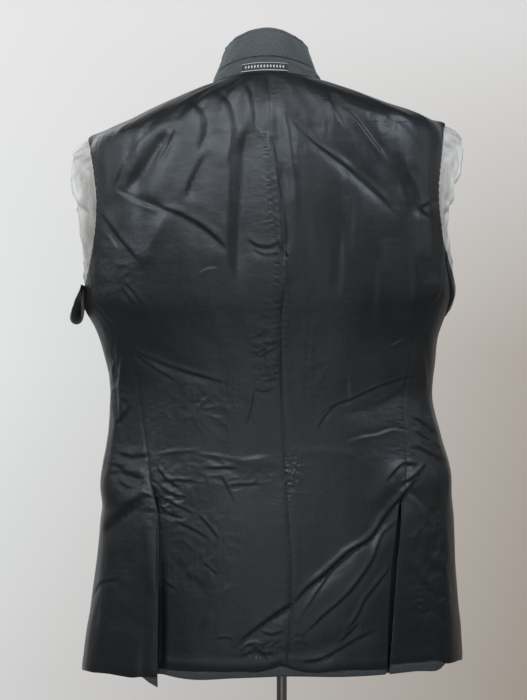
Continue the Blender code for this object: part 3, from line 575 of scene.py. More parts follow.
def relief(points, turn, rise):
    """How far the lining lies out from the body because of its folds and creases."""
    x, z = points[..., 0], points[..., 2]
    out = -fold_depth(points, turn)
    fine = np.zeros(x.shape)
    for wide, deep, crest, *path in CREASES:
        path = np.array(path) / 1000
        margin = 0.008 + 0.008 * wide
        low, high = path.min(axis=0) - margin, path.max(axis=0) + margin
        near = (x > low[0]) & (x < high[0]) & (z > low[1]) & (z < high[1])
        if near.any():
            fine[near] += crease(x[near], z[near], wide / 1000, deep / 1000, crest / 1000, path)
    for *row, stretch_x, stretch_z in CRUMPLES:
        fine += crumple(x, z, *np.array(row) / 1000, stretch_x, stretch_z)
    for row in np.array(PUCKERS) / 1000:
        fine += pucker(x, z, row[:4], *row[4:])
    from_back = np.degrees(np.abs(turn))
    out += RELIEF_GAIN * fine * ease((RELIEF_END - from_back) / 14)
    arc = turn * GIRTH
    round_side = ease((from_back - DRAGS_START) / 20)
    drag = 0.5 + 0.5 * BROAD.at(arc * 9 + 3, rise * 5)
    slanted = arc * 26 * np.sign(turn) + rise * 10
    out += round_side * 0.0022 * drag * CREASED.creased(slanted, rise * 7 - arc * 3) * 0.5
    soft = 0.0014 * BROAD.at(arc / 0.050, rise / 0.110)
    soft += 0.0004 * BROAD.at(arc / 0.021, rise / 0.040)
    streaks = 0.0007 * BROAD.at(arc / 0.013 + 3, rise / 0.075 + arc * 4)
    soft += streaks * ease((rise - 1.18) / 0.12)
    return out + soft * ease((NECK_RISE - rise) / 0.03)


def arm_oval(share):
    """The armhole's half width at a share of its half height, or the other way about."""
    return (1 - np.clip(share, 0, 1) ** ARM_SQUARENESS) ** (1 / ARM_SQUARENESS)


def arm_edge(rise, half_turn):
    """How far the armhole's edge is from the side at this rise."""
    return half_turn * arm_oval(np.abs(rise - ARM_MIDDLE) / ARM_HALF_HEIGHT)


def arm_bottom(turn):
    """The armhole's lower edge at this turn, counted without its sign."""
    half_turn = np.where(turn < math.pi / 2, ARM_BACK, ARM_FRONT)
    return ARM_MIDDLE - ARM_HALF_HEIGHT * arm_oval(np.abs(turn - math.pi / 2) / half_turn)


def arm_pull(turn, rise):
    """Small puckers where the lining is sewn round the armhole."""
    half_turn = np.where(np.abs(turn) < math.pi / 2, ARM_BACK, ARM_FRONT)
    across = np.abs(np.abs(turn) - math.pi / 2) / half_turn
    up = (rise - ARM_MIDDLE) / ARM_HALF_HEIGHT
    size = (across**ARM_SQUARENESS + np.abs(up) ** ARM_SQUARENESS) ** (1 / ARM_SQUARENESS)
    around = np.arctan2(up, across) * 12 + turn
    away = np.clip(size - 1, 0, None) * ARM_HALF_HEIGHT
    uneven = 0.6 + 0.6 * WOBBLE.at(around * 0.9, size * 0 + 5)
    wave = np.cos(2 * math.pi * around) * uneven
    return 0.0007 * wave * bell(away / 0.009) - 0.0006 * bell(away / 0.003)


def centre_turn(rise):
    """The turn of the centre back seam."""
    level = np.minimum(rise, SHOULDER)
    x = CENTRE_BACK.at("x", level) - BODY.at("centre", level)
    return np.arcsin(x / BODY.at("half_width", level))


def seam(name, rise):
    return np.radians(SEAMS.at(name, rise))


def outer_turn(rise, side_name, half_turn, toward):
    """A panel's edge at the side: its seam, then the armhole, then the shoulder seam."""
    armhole = math.pi / 2 + toward * arm_edge(rise, half_turn)
    at_side = np.where(rise < JUNCTION - 1e-6, seam(side_name, rise), armhole)
    return np.where(rise >= SHOULDER - 1e-6, math.pi / 2, at_side)


def widths(start, end, rise):
    """How wide a panel is, straight across, at each rise."""
    return np.linalg.norm(body_shape(start, rise) - body_shape(end, rise), axis=-1)


def spread(start, end, rise, shares):
    """Turns from one edge to the other in each row, half a seam gap inside both."""
    start, end = np.broadcast_arrays(start, end)
    inset = (SEAM_HALF_GAP / np.maximum(widths(start, end, rise), 1e-3))[:, None]
    return start[:, None] + (end - start)[:, None] * (inset + (1 - 2 * inset) * shares)


def steps(low, high, step):
    """Even rises from low up to high, high left out."""
    return np.linspace(low, high, max(2, math.ceil((high - low) / step)), endpoint=False)


def arm_rises(step):
    """Rises past the armhole, closer together where its edge runs flat."""
    start = -math.asin(((ARM_MIDDLE - JUNCTION) / ARM_HALF_HEIGHT) ** (ARM_SQUARENESS / 2))
    count = math.ceil((math.pi / 2 - start) * ARM_HALF_HEIGHT / step)
    up = np.sin(np.linspace(start, math.pi / 2, count))
    rises = ARM_MIDDLE + ARM_HALF_HEIGHT * np.sign(up) * np.abs(up) ** (2 / ARM_SQUARENESS)
    return np.append(rises[rises < SHOULDER - 0.0004], SHOULDER)


def full_rises(start, step):
    """Rises from an edge at the hem to the neck seam."""
    over = np.linspace(SHOULDER, NECK_RISE, math.ceil(OVER_SHOULDER * 0.75 / step))[1:]
    middle = steps(start + 0.012, JUNCTION, step)
    return np.concatenate([hem_rises(start), middle, arm_rises(step), over])


def hem_rises(start):
    """Close rows at a hem's rounded edge."""
    return start + np.array([0.0, 0.0003, 0.0008, 0.0015, 0.0025, 0.004, 0.006, 0.009])


# How much higher the wool and the lining end than on a plain hem, by degrees of turn
BACK_HEM = Table(
    "degrees wool lining",
    (-41.0, 0.0040, 0.0022),
    (-32.2, 0.0042, 0.0022),
    (-28.0, 0.0010, 0.0018),
    (-23.5, -0.0009, 0.0014),
    (-12.0, 0.0003, 0.0001),
    (-2.0, 0.0010, 0.0010),
    (0.6, 0.0012, 0.0040),
    (2.4, 0.0013, 0.0072),
    (4.2, 0.0012, 0.0035),
    (7.0, 0.0008, -0.0005),
    (22.0, -0.0020, -0.0024),
    (39.0, -0.0017, -0.0047),
)
LEFT_FLAP_HEM = Table(
    "degrees wool lining",
    (33.0, -0.0094, -0.0057),
    (35.6, -0.0080, -0.0057),
    (36.8, -0.0028, -0.0056),
    (38.0, 0.0009, -0.0056),
    (42.0, 0.0030, -0.0070),
    (47.0, 0.0047, -0.0058),
    (65.0, 0.0040, -0.0065),
    (90.0, 0.0018, -0.0085),
    (110.0, 0.0008, -0.0040),
    (128.0, 0.0, 0.0),
)
RIGHT_FLAP_HEM = Table(
    "degrees wool lining",
    (33.0, -0.0020, 0.0021),
    (45.4, -0.0012, 0.0022),
    (57.6, -0.0016, -0.0020),
    (59.4, 0.0010, -0.0052),
    (61.4, 0.0042, -0.0056),
    (75.0, 0.0030, -0.0070),
    (90.0, 0.0005, -0.0090),
    (110.0, 0.0002, -0.0040),
    (126.0, 0.0, 0.0),
)


def hem_table(panel):
    return {"side_left": LEFT_FLAP_HEM, "side_right": RIGHT_FLAP_HEM}.get(panel, BACK_HEM)


def hang(points, panel, turn, rise, lining):
    """Moves a panel's points to the real hang of its hem."""
    degrees = np.degrees(turn)
    if panel.startswith("side"):
        degrees = np.abs(degrees)
    table = hem_table(panel)
    if panel.startswith(("front", "facing")):
        wool = lip = 0.0008 * WOBBLE.at(turn * 6, 0 * rise)
    else:
        wool, lip = table.at("wool", degrees), table.at("lining", degrees)
    moved = wool * ease((HANG_TOP - rise) / (HANG_TOP - HANG_FULL))
    if lining:
        bottom = ease((LIP_TOP - rise) / (LIP_TOP - LIP_FULL))
        moved = moved * (1 - bottom) + (lip + 0.0005 * WOBBLE.at(turn * 12, 0 * rise)) * bottom
    points[..., 2] += moved
    return points


def overhang(panel, turn, rise):
    """How far the lining's lower edge bulges out over the wool."""
    low = bell((rise - LINING_EDGE - 0.0075) / 0.0065) * 0.0013
    if not panel.startswith("side"):
        return low
    low = low * 0.4
    degrees = np.abs(np.degrees(turn))
    covers = ease((degrees - FLAP_EDGES[panel]) / 2.0) * ease((BULGE_END - degrees) / 12)
    return low + covers * 0.0024 * ease((LINING_EDGE + 0.070 - rise) / 0.065)


# Meshes

WALL_SHARP = 75  # degrees between faces from which an edge of cloth is sharp


def enclosed(points, faces):
    """The volume inside the faces, below zero if they point inwards."""
    total = 0.0
    for block in faces:
        first = points[block[:, 0]]
        for i in range(1, block.shape[1] - 1):
            total += (first * np.cross(points[block[:, i]], points[block[:, i + 1]])).sum()
    return total / 6


def put(name, data):
    """A new object in the scene."""
    made = bpy.data.objects.new(name, data)
    bpy.context.scene.collection.objects.link(made)
    return made


def add_mesh(name, points, faces, finish, slot, sharp, uv, place=(0, 0, 0), turned=(0, 0, 0)):
    """One piece, smooth, that rides on the part's one body. Faces come in blocks."""
    faces = [np.asarray(block, int) for block in faces if len(block)]
    if enclosed(points, faces) < 0:
        faces = [block[:, ::-1] for block in faces]
    mesh = bpy.data.meshes.new(name)
    mesh.vertices.add(len(points))
    mesh.vertices.foreach_set("co", np.asarray(points, np.float32).ravel())
    sizes = np.concatenate([np.full(len(block), block.shape[1]) for block in faces])
    loops = np.concatenate([block.ravel() for block in faces])
    mesh.loops.add(len(loops))
    mesh.loops.foreach_set("vertex_index", loops.astype(np.int32))
    mesh.polygons.add(len(sizes))
    mesh.polygons.foreach_set("loop_start", (np.cumsum(sizes) - sizes).astype(np.int32))
    mesh.update(calc_edges=True)
    mesh.validate()
    layer = mesh.uv_layers.new(name="cloth")
    layer.uv.foreach_set("vector", uv[loops].astype(np.float32).ravel())
    mesh.materials.append(finish)
    mesh.shade_smooth()
    mesh.set_sharp_from_angle(angle=math.radians(sharp))
    placed = put(name, mesh)
    placed.location, placed.rotation_euler = place, turned
    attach(placed, "root")
    return placed


def grid_faces(rows, columns, ring):
    """Four-sided faces between the points of a grid."""
    row, column = np.meshgrid(np.arange(rows - 1), np.arange(columns - 1 + ring), indexing="ij")
    beside = (column + 1) % columns
    a, b = row * columns + column, row * columns + beside
    return np.stack([a, b, b + columns, a + columns], axis=-1).reshape(-1, 4)


def creased_faces(grid, ring):
    """Triangles between the points of a grid, cut along the creases that run through it."""
    quads = grid_faces(*grid.shape[:2], ring)
    around = sum(np.roll(grid, shift, axis) for axis in (0, 1) for shift in (1, -1)) / 4
    bend = np.abs(((grid - around) * sheet_normals(grid, ring)).sum(axis=-1))
    bend[[0, -1]] = 0
    if not ring:
        bend[:, [0, -1]] = 0
    bend = bend.ravel()[quads]
    rising = (bend[:, 0] + bend[:, 2] >= bend[:, 1] + bend[:, 3])[:, None]
    lower = np.where(rising, quads[:, [0, 1, 2]], quads[:, [0, 1, 3]])
    upper = np.where(rising, quads[:, [0, 2, 3]], quads[:, [1, 2, 3]])
    return np.concatenate([lower, upper])


def every(count, step):
    """Every step-th of a row's numbers, and the last."""
    return np.append(np.arange(0, count - 1, step), count - 1)


def rim_faces(stops, fine, coarse, flip):
    """Faces along an edge of a wall, from its many outer points to its fewer inner ones."""
    made = []
    for k, (near, far) in enumerate(zip(stops, stops[1:])):
        face = [fine(i) for i in range(far, near - 1, -1)] + [coarse(k), coarse(k + 1)]
        made.append(np.array([face[::-1] if flip else face]))
    return made


def add_wall(name, inner, outer, finish, slot, uv, ring=False, coarse=1):
    """A closed wall between two grids. The hidden inner one keeps every coarse-th point."""
    rows, columns = inner.shape[:2]
    kept_rows = every(rows, coarse)
    kept_columns = np.arange(columns) if ring else every(columns, coarse)
    inner, inner_uv = inner[kept_rows][:, kept_columns], uv[kept_rows][:, kept_columns]
    half, height, width = rows * columns, len(kept_rows), len(kept_columns)
    faces = [creased_faces(outer, ring), half + grid_faces(height, width, ring)[:, ::-1]]
    for row, inner_row, flip in ((0, 0, False), (rows - 1, height - 1, True)):
        faces += rim_faces(
            list(kept_columns) + [columns] * ring,
            lambda i: row * columns + i % columns,
            lambda k: half + inner_row * width + k % width,
            flip,
        )
    sides = () if ring else ((0, 0, True), (columns - 1, width - 1, False))
    for column, inner_column, flip in sides:
        faces += rim_faces(
            kept_rows,
            lambda i: i * columns + column,
            lambda k: half + k * width + inner_column,
            flip,
        )
    points = np.concatenate([outer.reshape(-1, 3), inner.reshape(-1, 3)])
    uv = np.concatenate([uv.reshape(-1, 2), inner_uv.reshape(-1, 2)])
    return add_mesh(name, points, faces, finish, slot, WALL_SHARP, uv)


def sheet_normals(grid, ring):
    """Directions square to a grid of points."""
    if ring:
        across = np.roll(grid, -1, axis=1) - np.roll(grid, 1, axis=1)
    else:
        across = np.gradient(grid, axis=1)
    normal = np.cross(across, np.gradient(grid, axis=0))
    return normal / np.maximum(np.linalg.norm(normal, axis=-1, keepdims=True), 1e-12)


def add_rings(name, rings, finish, slot, hollow=False, sharp=40, **placing):
    """A body through rings of points. A hollow one's last ring joins its first."""
    rings = np.array(rings, float)
    rows, count = rings.shape[:2]
    faces = [grid_faces(rows + hollow, count, True) % (rows * count)]
    if not hollow:
        faces += [[range(count)[::-1]], [range((rows - 1) * count, rows * count)]]
    uv = pairs(np.linspace(0, 1, count), rings[..., 2].mean(axis=1)[:, None]).reshape(-1, 2)
    return add_mesh(name, rings.reshape(-1, 3), faces, finish, slot, sharp, uv, **placing)


# Materials

STRIPE_SPACING = 0.0042


class Finish:
    """A procedural material, made node by node round one shader."""

    def __init__(self, name, roughness, metallic=0.0, sheen=0.0, sheen_roughness=0.4):
        self.made = bpy.data.materials.new(name)
        self.made.use_nodes = True
        self.nodes = self.made.node_tree.nodes
        self.shader = self.nodes["Principled BSDF"]
        self.set("Roughness", roughness)
        self.set("Metallic", metallic)
        self.set("Sheen Weight", sheen)
        self.set("Sheen Roughness", sheen_roughness)

    def set(self, socket, value):
        self.shader.inputs[socket].default_value = value

    def link(self, start, end):
        self.made.node_tree.links.new(start, end)

    def feed(self, socket, value):
        if isinstance(value, bpy.types.NodeSocket):
            self.link(value, socket)
        else:
            socket.default_value = value

    def node(self, kind, **inputs):
        made = self.nodes.new(kind)
        for name, value in inputs.items():
            self.feed(made.inputs[name.replace("_", " ")], value)
        return made

    def place(self, scale=(1, 1, 1), turned=0.0, of="UV"):
        """Coordinates in metres, on the cloth or in space, times a scale."""
        if of == "UV":
            source = self.nodes.new("ShaderNodeUVMap")
            source.uv_map = "cloth"
            source = source.outputs["UV"]
        else:
            source = self.nodes.new("ShaderNodeTexCoord").outputs["Object"]
        mapped = self.node("ShaderNodeMapping", Vector=source, Scale=scale)
        mapped.inputs["Rotation"].default_value = (0, 0, turned)
        return mapped.outputs["Vector"]

    def noise(self, scale, detail=2.0, roughness=0.5, of="UV"):
        place = self.place(scale, of=of)
        kind = "ShaderNodeTexNoise"
        made = self.node(kind, Vector=place, Scale=1, Detail=detail, Roughness=roughness)
        return made.outputs["Fac"]

    def wave(self, place, scale=1.0, distortion=0.0, bands="X"):
        made = self.node("ShaderNodeTexWave", Vector=place, Scale=scale, Distortion=distortion)
        made.bands_direction = bands
        return made.outputs["Fac"]

    def math(self, operation, a, b=0.0, c=0.0):
        made = self.nodes.new("ShaderNodeMath")
        made.operation = operation
        for socket, value in zip(made.inputs, (a, b, c)):
            self.feed(socket, value)
        return made.outputs["Value"]

    def mixed(self, *parts):
        """The sum of two factors, each times its share."""
        return self.math("ADD", *[self.math("MULTIPLY", factor, share) for factor, share in parts])

    def parts(self, vector):
        made = self.nodes.new("ShaderNodeSeparateXYZ")
        self.link(vector, made.inputs["Vector"])
        return made.outputs["X"], made.outputs["Y"], made.outputs["Z"]

    def ramp(self, factor, *stops):
        """A colour for each stop of a factor."""
        made = self.node("ShaderNodeValToRGB", Fac=factor)
        elements = made.color_ramp.elements
        while len(elements) < len(stops):
            elements.new(0.5)
        for element, (position, colour) in zip(elements, stops):
            element.position = position
            element.color = (*colour, 1)
        return made.outputs["Color"]

    def spread(self, factor, low, high):
        made = self.node("ShaderNodeMapRange", Value=factor)
        made.inputs["To Min"].default_value = low
        made.inputs["To Max"].default_value = high
        return made.outputs["Result"]

    def blend(self, factor, a, b):
        made = self.nodes.new("ShaderNodeMix")
        made.data_type = "RGBA"
        for socket, value in zip((made.inputs[0], made.inputs[6], made.inputs[7]), (factor, a, b)):
            self.feed(socket, value)
        return made.outputs[2]

    def over(self, ground, mask, share, colour):
        """A colour laid over a ground where the mask is, as strong as the share."""
        return self.blend(self.math("MULTIPLY", mask, share), ground, (*colour, 1))

    def bumps(self, *layers):
        """Bumps from pairs of height in metres and factor."""
        normal = None
        for distance, factor in layers:
            made = self.node("ShaderNodeBump", Height=factor, Distance=distance, Strength=1.0)
            if normal is not None:
                self.link(normal, made.inputs["Normal"])
            normal = made.outputs["Normal"]
        self.link(normal, self.shader.inputs["Normal"])

    def colour(self, socket):
        self.link(socket, self.shader.inputs["Base Color"])
        return self.made


def satin_finish():
    """Charcoal lining satin: a dark ground with a broad, slightly blue sheen."""
    made = Finish("charcoal_satin", 0.50, sheen=0.03, sheen_roughness=0.30)
    made.set("Sheen Tint", (0.75, 0.85, 1.0, 1))
    made.set("Specular IOR Level", 0.57)
    made.set("Specular Tint", (0.93, 0.97, 1.0, 1))
    patches = made.noise((9, 5, 1), detail=3)
    slubs = made.noise((160, 2600, 1), detail=2)
    weave = made.wave(made.place(turned=math.radians(27)), scale=820)
    colour = made.ramp(
        made.mixed((patches, 0.7), (slubs, 0.3)),
        (0.30, (0.0050, 0.0053, 0.0058)),
        (0.55, (0.0072, 0.0075, 0.0083)),
        (0.75, (0.0105, 0.0108, 0.0122)),
    )
    made.link(made.spread(patches, 0.35, 0.47), made.shader.inputs["Roughness"])
    crush = made.noise((50, 62, 1), detail=4, roughness=0.62)
    drawn = made.noise((120, 22, 1), detail=3)
    made.bumps((0.0007, crush), (0.00035, drawn), (0.00004, slubs), (0.00001, weave))
    return made.colour(colour)


def wool_finish():
    """Blue-grey wool suiting, mottled from fibre to fibre, with a faint twill line."""
    made = Finish("grey_wool_suiting", 0.90, sheen=0.12, sheen_roughness=0.5)
    made.set("Specular IOR Level", 0.3)
    fibres = made.noise((1500, 900, 1), detail=3, roughness=0.7)
    mottle = made.noise((420, 420, 1), detail=2)
    twill = made.wave(made.place(turned=math.radians(58)), scale=310, distortion=1.5)
    ground = made.ramp(
        made.mixed((fibres, 0.6), (mottle, 0.4)),
        (0.30, (0.032, 0.037, 0.039)),
        (0.52, (0.069, 0.076, 0.078)),
        (0.72, (0.138, 0.145, 0.147)),
    )
    colour = made.over(ground, twill, 0.30, (0.032, 0.040, 0.044))
    made.bumps((0.00022, fibres), (0.00008, twill))
    return made.colour(colour)


def striped_finish():
    """Off-white sleeve lining with fine pale grey stripes along the sleeve, and painted shade in
    its crumples' hollows.
    """
    made = Finish("striped_sleeve_lining", 0.44, sheen=0.15)
    made.set("Specular IOR Level", 0.55)
    across, _, _ = made.parts(made.place())
    phase = made.math("FRACT", made.math("MULTIPLY", across, 1 / STRIPE_SPACING))
    line = made.math("LESS_THAN", made.math("ABSOLUTE", made.math("SUBTRACT", phase, 0.5)), 0.12)
    crush = made.noise((110, 70, 1), detail=4, roughness=0.6)
    crinkle_bump_and_painted_shade = made.noise((240, 170, 1), detail=3, roughness=0.6)
    # Painted shade: the ground darkens where the crumple bumps run low, in their hollows.
    ground = made.ramp(
        made.mixed((crush, 0.6), (crinkle_bump_and_painted_shade, 0.4)),
        (0.38, (0.38, 0.353, 0.318)),
        (0.50, (0.58, 0.547, 0.502)),
        (0.60, (0.74, 0.712, 0.67)),
    )
    colour = made.over(ground, line, 0.22, (0.38, 0.38, 0.385))
    made.bumps((0.0022, crush), (0.0008, crinkle_bump_and_painted_shade), (0.00002, made.noise((2200, 300, 1))))
    return made.colour(colour)


def label_finish():
    """A black woven label with a plain pale border and a row of small lozenges."""
    made = Finish("woven_label", 0.62, sheen=0.1)
    along, up, _ = made.parts(made.place())
    middle = made.math("ABSOLUTE", made.math("SUBTRACT", up, 0.5))
    step = made.math("FRACT", made.math("MULTIPLY", along, 15.0))
    step = made.math("ABSOLUTE", made.math("SUBTRACT", step, 0.5))
    slope = made.math("ADD", made.math("MULTIPLY", step, 0.55), middle)
    lozenge = made.math("LESS_THAN", slope, 0.17)
    from_end = made.math("ABSOLUTE", made.math("SUBTRACT", along, 0.5))
    inside = made.math("LESS_THAN", from_end, 0.43)
    border = made.math("COMPARE", middle, 0.37, 0.028)
    pale = made.math("MAXIMUM", made.math("MULTIPLY", lozenge, inside), border)
    thread = made.noise((180, 60, 1), detail=1)
    ground = made.ramp(thread, (0.3, (0.006, 0.006, 0.007)), (0.7, (0.020, 0.020, 0.023)))
    colour = made.over(ground, pale, 0.85, (0.60, 0.60, 0.58))
    made.bumps((0.00015, thread), (0.0001, pale))
    return made.colour(colour)


def steel_finish():
    """Satin steel, brushed round the pole and foot."""
    made = Finish("satin_steel", 0.34, metallic=1.0)
    brushed = made.noise((4, 4, 900), detail=3, of="space")
    colour = made.ramp(brushed, (0.3, (0.24, 0.235, 0.23)), (0.7, (0.36, 0.355, 0.35)))
    made.link(made.spread(brushed, 0.26, 0.44), made.shader.inputs["Roughness"])
    made.bumps((0.00003, brushed))
    return made.colour(colour)


def jersey_finish():
    """The form's knitted cover, with its rows of stitches."""
    made = Finish("form_jersey_cover", 0.86, sheen=0.25)
    rows = made.wave(made.place((1, 1, 1), of="space"), scale=260, bands="Z")
    ribs = made.wave(made.place((1, 0.6, 0), of="space"), scale=330, bands="X")
    knit = made.math("MULTIPLY", rows, ribs)
    cloudy = made.noise((14, 14, 14), detail=4, of="space")
    ground = made.ramp(cloudy, (0.35, (0.50, 0.455, 0.395)), (0.65, (0.60, 0.555, 0.49)))
    colour = made.over(ground, knit, 0.22, (0.34, 0.30, 0.25))
    made.bumps((0.00025, knit))
    return made.colour(colour)


def beech_finish():
    """Oiled beech with its rings and short flecks."""
    made = Finish("oiled_beech", 0.42)
    rings = made.wave(made.place((1, 1, 0.15), of="space"), scale=95, distortion=5)
    flecks = made.noise((900, 260, 900), detail=2, of="space")
    ground = made.ramp(rings, (0.2, (0.36, 0.215, 0.115)), (0.8, (0.50, 0.325, 0.185)))
    colour = made.over(ground, flecks, 0.35, (0.24, 0.13, 0.065))
    made.bumps((0.00006, flecks))
    return made.colour(colour)


def horn_finish():
    """Dark horn buttons, streaked brown."""
    made = Finish("dark_horn", 0.28)
    made.set("Coat Weight", 0.3)
    streaks = made.noise((60, 260, 60), detail=4, of="space")
    colour = made.ramp(
        streaks,
        (0.35, (0.018, 0.014, 0.011)),
        (0.60, (0.055, 0.040, 0.028)),
        (0.75, (0.120, 0.090, 0.060)),
    )
    made.bumps((0.00003, streaks))
    return made.colour(colour)


SATIN = satin_finish()
WOOL = wool_finish()
STRIPED = striped_finish()
LABEL = label_finish()
STEEL = steel_finish()
JERSEY = jersey_finish()
BEECH = beech_finish()
HORN = horn_finish()


# Panels


def from_edges(turn, rise):
    """How far each point of a panel is from its two vertical edges, along the cloth."""
    lengths = steps_between(body_shape(turn, rise), 1)
    along = np.concatenate([np.zeros((len(lengths), 1)), np.cumsum(lengths, axis=1)], axis=1)
    return along, along[:, -1:] - along


def seamed(turn, rise, deep=0.0005):
    """A panel's turned-in edges, with the thickness of its seam allowance just inside."""
    out = np.zeros(turn.shape)
    for away in from_edges(turn, rise):
        out -= deep * bell(away / 0.0020)
        out += 0.25 * deep * bell((away - 0.007) / 0.004)
    return out


def columns_for(start, end, rise, step):
    return np.linspace(0, 1, max(4, math.ceil(widths(start, end, rise).max() / step)))


def panel_wall(name, points, turn, rise, middle, half, finish, slot, coarse):
    """A panel as a wall, from how far out its middle lies and half its thickness."""
    lining = not name.startswith("shell_")
    panel = name.removeprefix("lining_").removeprefix("shell_")
    normal = outward(turn, rise)
    outer, inner = (
        hang(points + normal * (middle + half * way)[..., None], panel, turn, rise, lining)
        for way in (1, -1)
    )
    return add_wall(name, inner, outer, finish, slot, pairs(turn * GIRTH, rise), coarse=coarse)


def lining_panel(name, turn, rise, extra, finish=None, slot="dark_satin"):
    """A panel of lining with all its folds. Rise is a grid as turn is."""
    points = body_shape(turn, rise)
    bulge = overhang(name.removeprefix("lining_"), turn, rise)
    middle = LINING_OUT + relief(points, turn, rise) + extra + bulge - LINING_THICKNESS / 2
    half = LINING_THICKNESS / 2 * rounded((rise - LINING_EDGE) / LINING_EDGE_RADIUS, 0.02)
    return panel_wall(name, points, turn, rise, middle, half, finish or SATIN, slot, 4)


def below_creases(turn, rise):
    """The lowest that the lining lies near each point of a coarser grid."""
    lowest = SHELL_HIGHEST
    turn_step = np.abs(np.gradient(turn, axis=1)).mean() / 2
    rise_step = np.abs(np.gradient(rise, axis=0)).mean() / 2
    for across in (-1, 0, 1):
        for up in (-1, 0, 1):
            t, r = turn + across * turn_step, rise + up * rise_step
            lowest = np.minimum(lowest, relief(body_shape(t, r), t, r))
    return lowest


def shell_panel(name, turn, rise, extra=0.0):
    """A panel of the wool shell, just under the lining, its hem turned up over its edge."""
    turned_up = ease((LINING_EDGE + 0.0015 - rise) / 0.0022)
    out = below_creases(turn, rise) - 0.0004 + extra + turned_up * (LINING_OUT - 0.0002)
    half = (SHELL_THICKNESS + turned_up * LINING_OUT) / 2
    middle = out - half
    half = half * rounded((rise - HEM) / HEM_RADIUS, 0.02)
    points = body_shape(turn, rise)
    return panel_wall(name, points, turn, rise, middle, half, WOOL, "grey_wool", 2)


def shell_rises(full):
    """Rises of a panel of the shell, up to the neck seam or only to the armhole."""
    hem = (0, 0.4, 1, 1.8, 2.8, 4, 5.5, 7, 8.2, 9.4, 10.6, 11.8)
    over = np.linspace(SHOULDER, NECK_RISE, OVER_ROWS)[1:]
    end = [arm_rises(SHELL_STEP), over] if full else [[JUNCTION]]
    middle = steps(HEM + 0.014, JUNCTION, SHELL_STEP)
    return np.concatenate([HEM + np.array(hem) / 1000, middle, *end])


def under_vent(name, turn, rise):
    """How far the back lies in near a vent, where the side panel lies over it."""
    inward = (seam("back_" + name, rise) - np.abs(turn)) * VENT_GIRTH
    down = VENT_TOP - rise
    if name == "left":
        deep = 0.0028 * ease(1 - inward / 0.034) + 0.0042 * ease(1 - inward / 0.009)
        return -ease(down / 0.17) * deep
    gape = VENT_GAPE * np.sin(math.pi * np.clip(down / 0.25, 0, 1) ** 0.6) ** 1.3 + 0.0006
    return -0.0085 * ease(down / 0.016) * ease(1 - (inward - gape) / 0.0026)


def back_panels(side, name):
    """The back's lining and shell. The lining's left side ends in a pleat on top of the right."""
    if name == "left":
        underlap, top, runs_out = VENT_UNDERLAP, VENT_TOP, 0.04
    else:
        underlap, top, runs_out = VENT_UNDERLAP_RIGHT, VENT_TOP - 0.012, 0.02
    made = []
    for layer, step in (("lining", BACK_STEP), ("shell", SHELL_STEP)):
        rise = full_rises(LINING_EDGE, step) if layer == "lining" else shell_rises(True)
        outer = outer_turn(rise, "back_" + name, ARM_BACK, -1)
        ends = centre_turn(rise), side * (outer + underlap * ease((top - rise) / runs_out))
        turn = spread(*ends, rise, columns_for(*ends, rise, step))
        grid = np.broadcast_to(rise[:, None], turn.shape)
        sunk = under_vent(name, turn, grid)
        if layer == "shell":
            made.append(shell_panel(f"{layer}_back_{name}", turn, grid, sunk))
            continue
        extra = arm_pull(turn, grid) + sunk
        if name == "left":
            away, _ = from_edges(turn, grid)
            open_pleat = ease((grid - PLEAT_START) / (PLEAT_FULL - PLEAT_START))
            open_pleat = open_pleat * ease((NECK_RISE - grid) / 0.10)
            wide = PLEAT_OVERLAP / BODY.at("half_width", JUNCTION)
            turn = turn + wide * open_pleat * ease(1 - away / 0.030)
            extra += PLEAT_LIFT * open_pleat * ease(1 - away / 0.016)
            extra += seamed(turn, grid) * (1 - open_pleat)
        else:
            extra += seamed(turn, grid)
        made.append(lining_panel(f"{layer}_back_{name}", turn, grid, extra))
    return made


def side_panels(side, name):
    """The panel under the arm. On the left its back edge lies over the back's vent."""
    made = []
    for layer, step in (("lining", SIDE_STEP), ("shell", SHELL_STEP)):
        if layer == "lining":
            middle = steps(LINING_EDGE + 0.012, JUNCTION, step)
            rise = np.concatenate([hem_rises(LINING_EDGE), middle, [JUNCTION]])
        else:
            rise = shell_rises(False)
        ends = seam("back_" + name, rise), seam("front", rise)
        shares = columns_for(*ends, rise, step)
        turn = spread(*ends, rise, shares)
        top = arm_bottom(turn[-1])
        share = np.clip((rise - FLAP_TOP) / (JUNCTION - FLAP_TOP), 0, 1)[:, None]
        lift = np.zeros(turn.shape)
        if name == "left":
            below = ease((FLAP_TOP - rise) / (FLAP_TOP - VENT_TOP))
            lift = VENT_LIFT * ease(1 - 1.6 * shares) * below[:, None]
        grid = rise[:, None] + share * (top - JUNCTION)
        if layer == "shell":
            made.append(shell_panel(f"{layer}_side_{name}", side * turn, grid, lift))
            continue
        extra = lift + seamed(side * turn, grid) + arm_pull(side * turn, grid)
        made.append(lining_panel(f"{layer}_side_{name}", side * turn, grid, extra))
    return made


def front_panels(side, name):
    """The front's lining, shell and wool facing."""
    made = []
    for label in ("lining_front", "facing", "shell_front"):
        step = SHELL_STEP if label == "shell_front" else FRONT_STEP
        rise = shell_rises(True) if label == "shell_front" else full_rises(LINING_EDGE, step)
        start = outer_turn(rise, "front", ARM_FRONT, 1)
        if label == "facing":
            start = seam("facing", rise)
        end = seam("facing" if label == "lining_front" else "edge", rise)
        turn = side * spread(start, end, rise, columns_for(start, end, rise, step))
        grid = np.broadcast_to(rise[:, None], turn.shape)
        if label == "shell_front":
            made.append(shell_panel(f"{label}_{name}", turn, grid))
            continue
        extra = seamed(turn, grid)
        if label == "lining_front":
            extra += arm_pull(turn, grid)
            made.append(lining_panel(f"{label}_{name}", turn, grid, extra))
        else:
            made.append(lining_panel(f"{label}_{name}", turn, grid, extra, WOOL, "grey_wool"))
    return made


# Sleeves

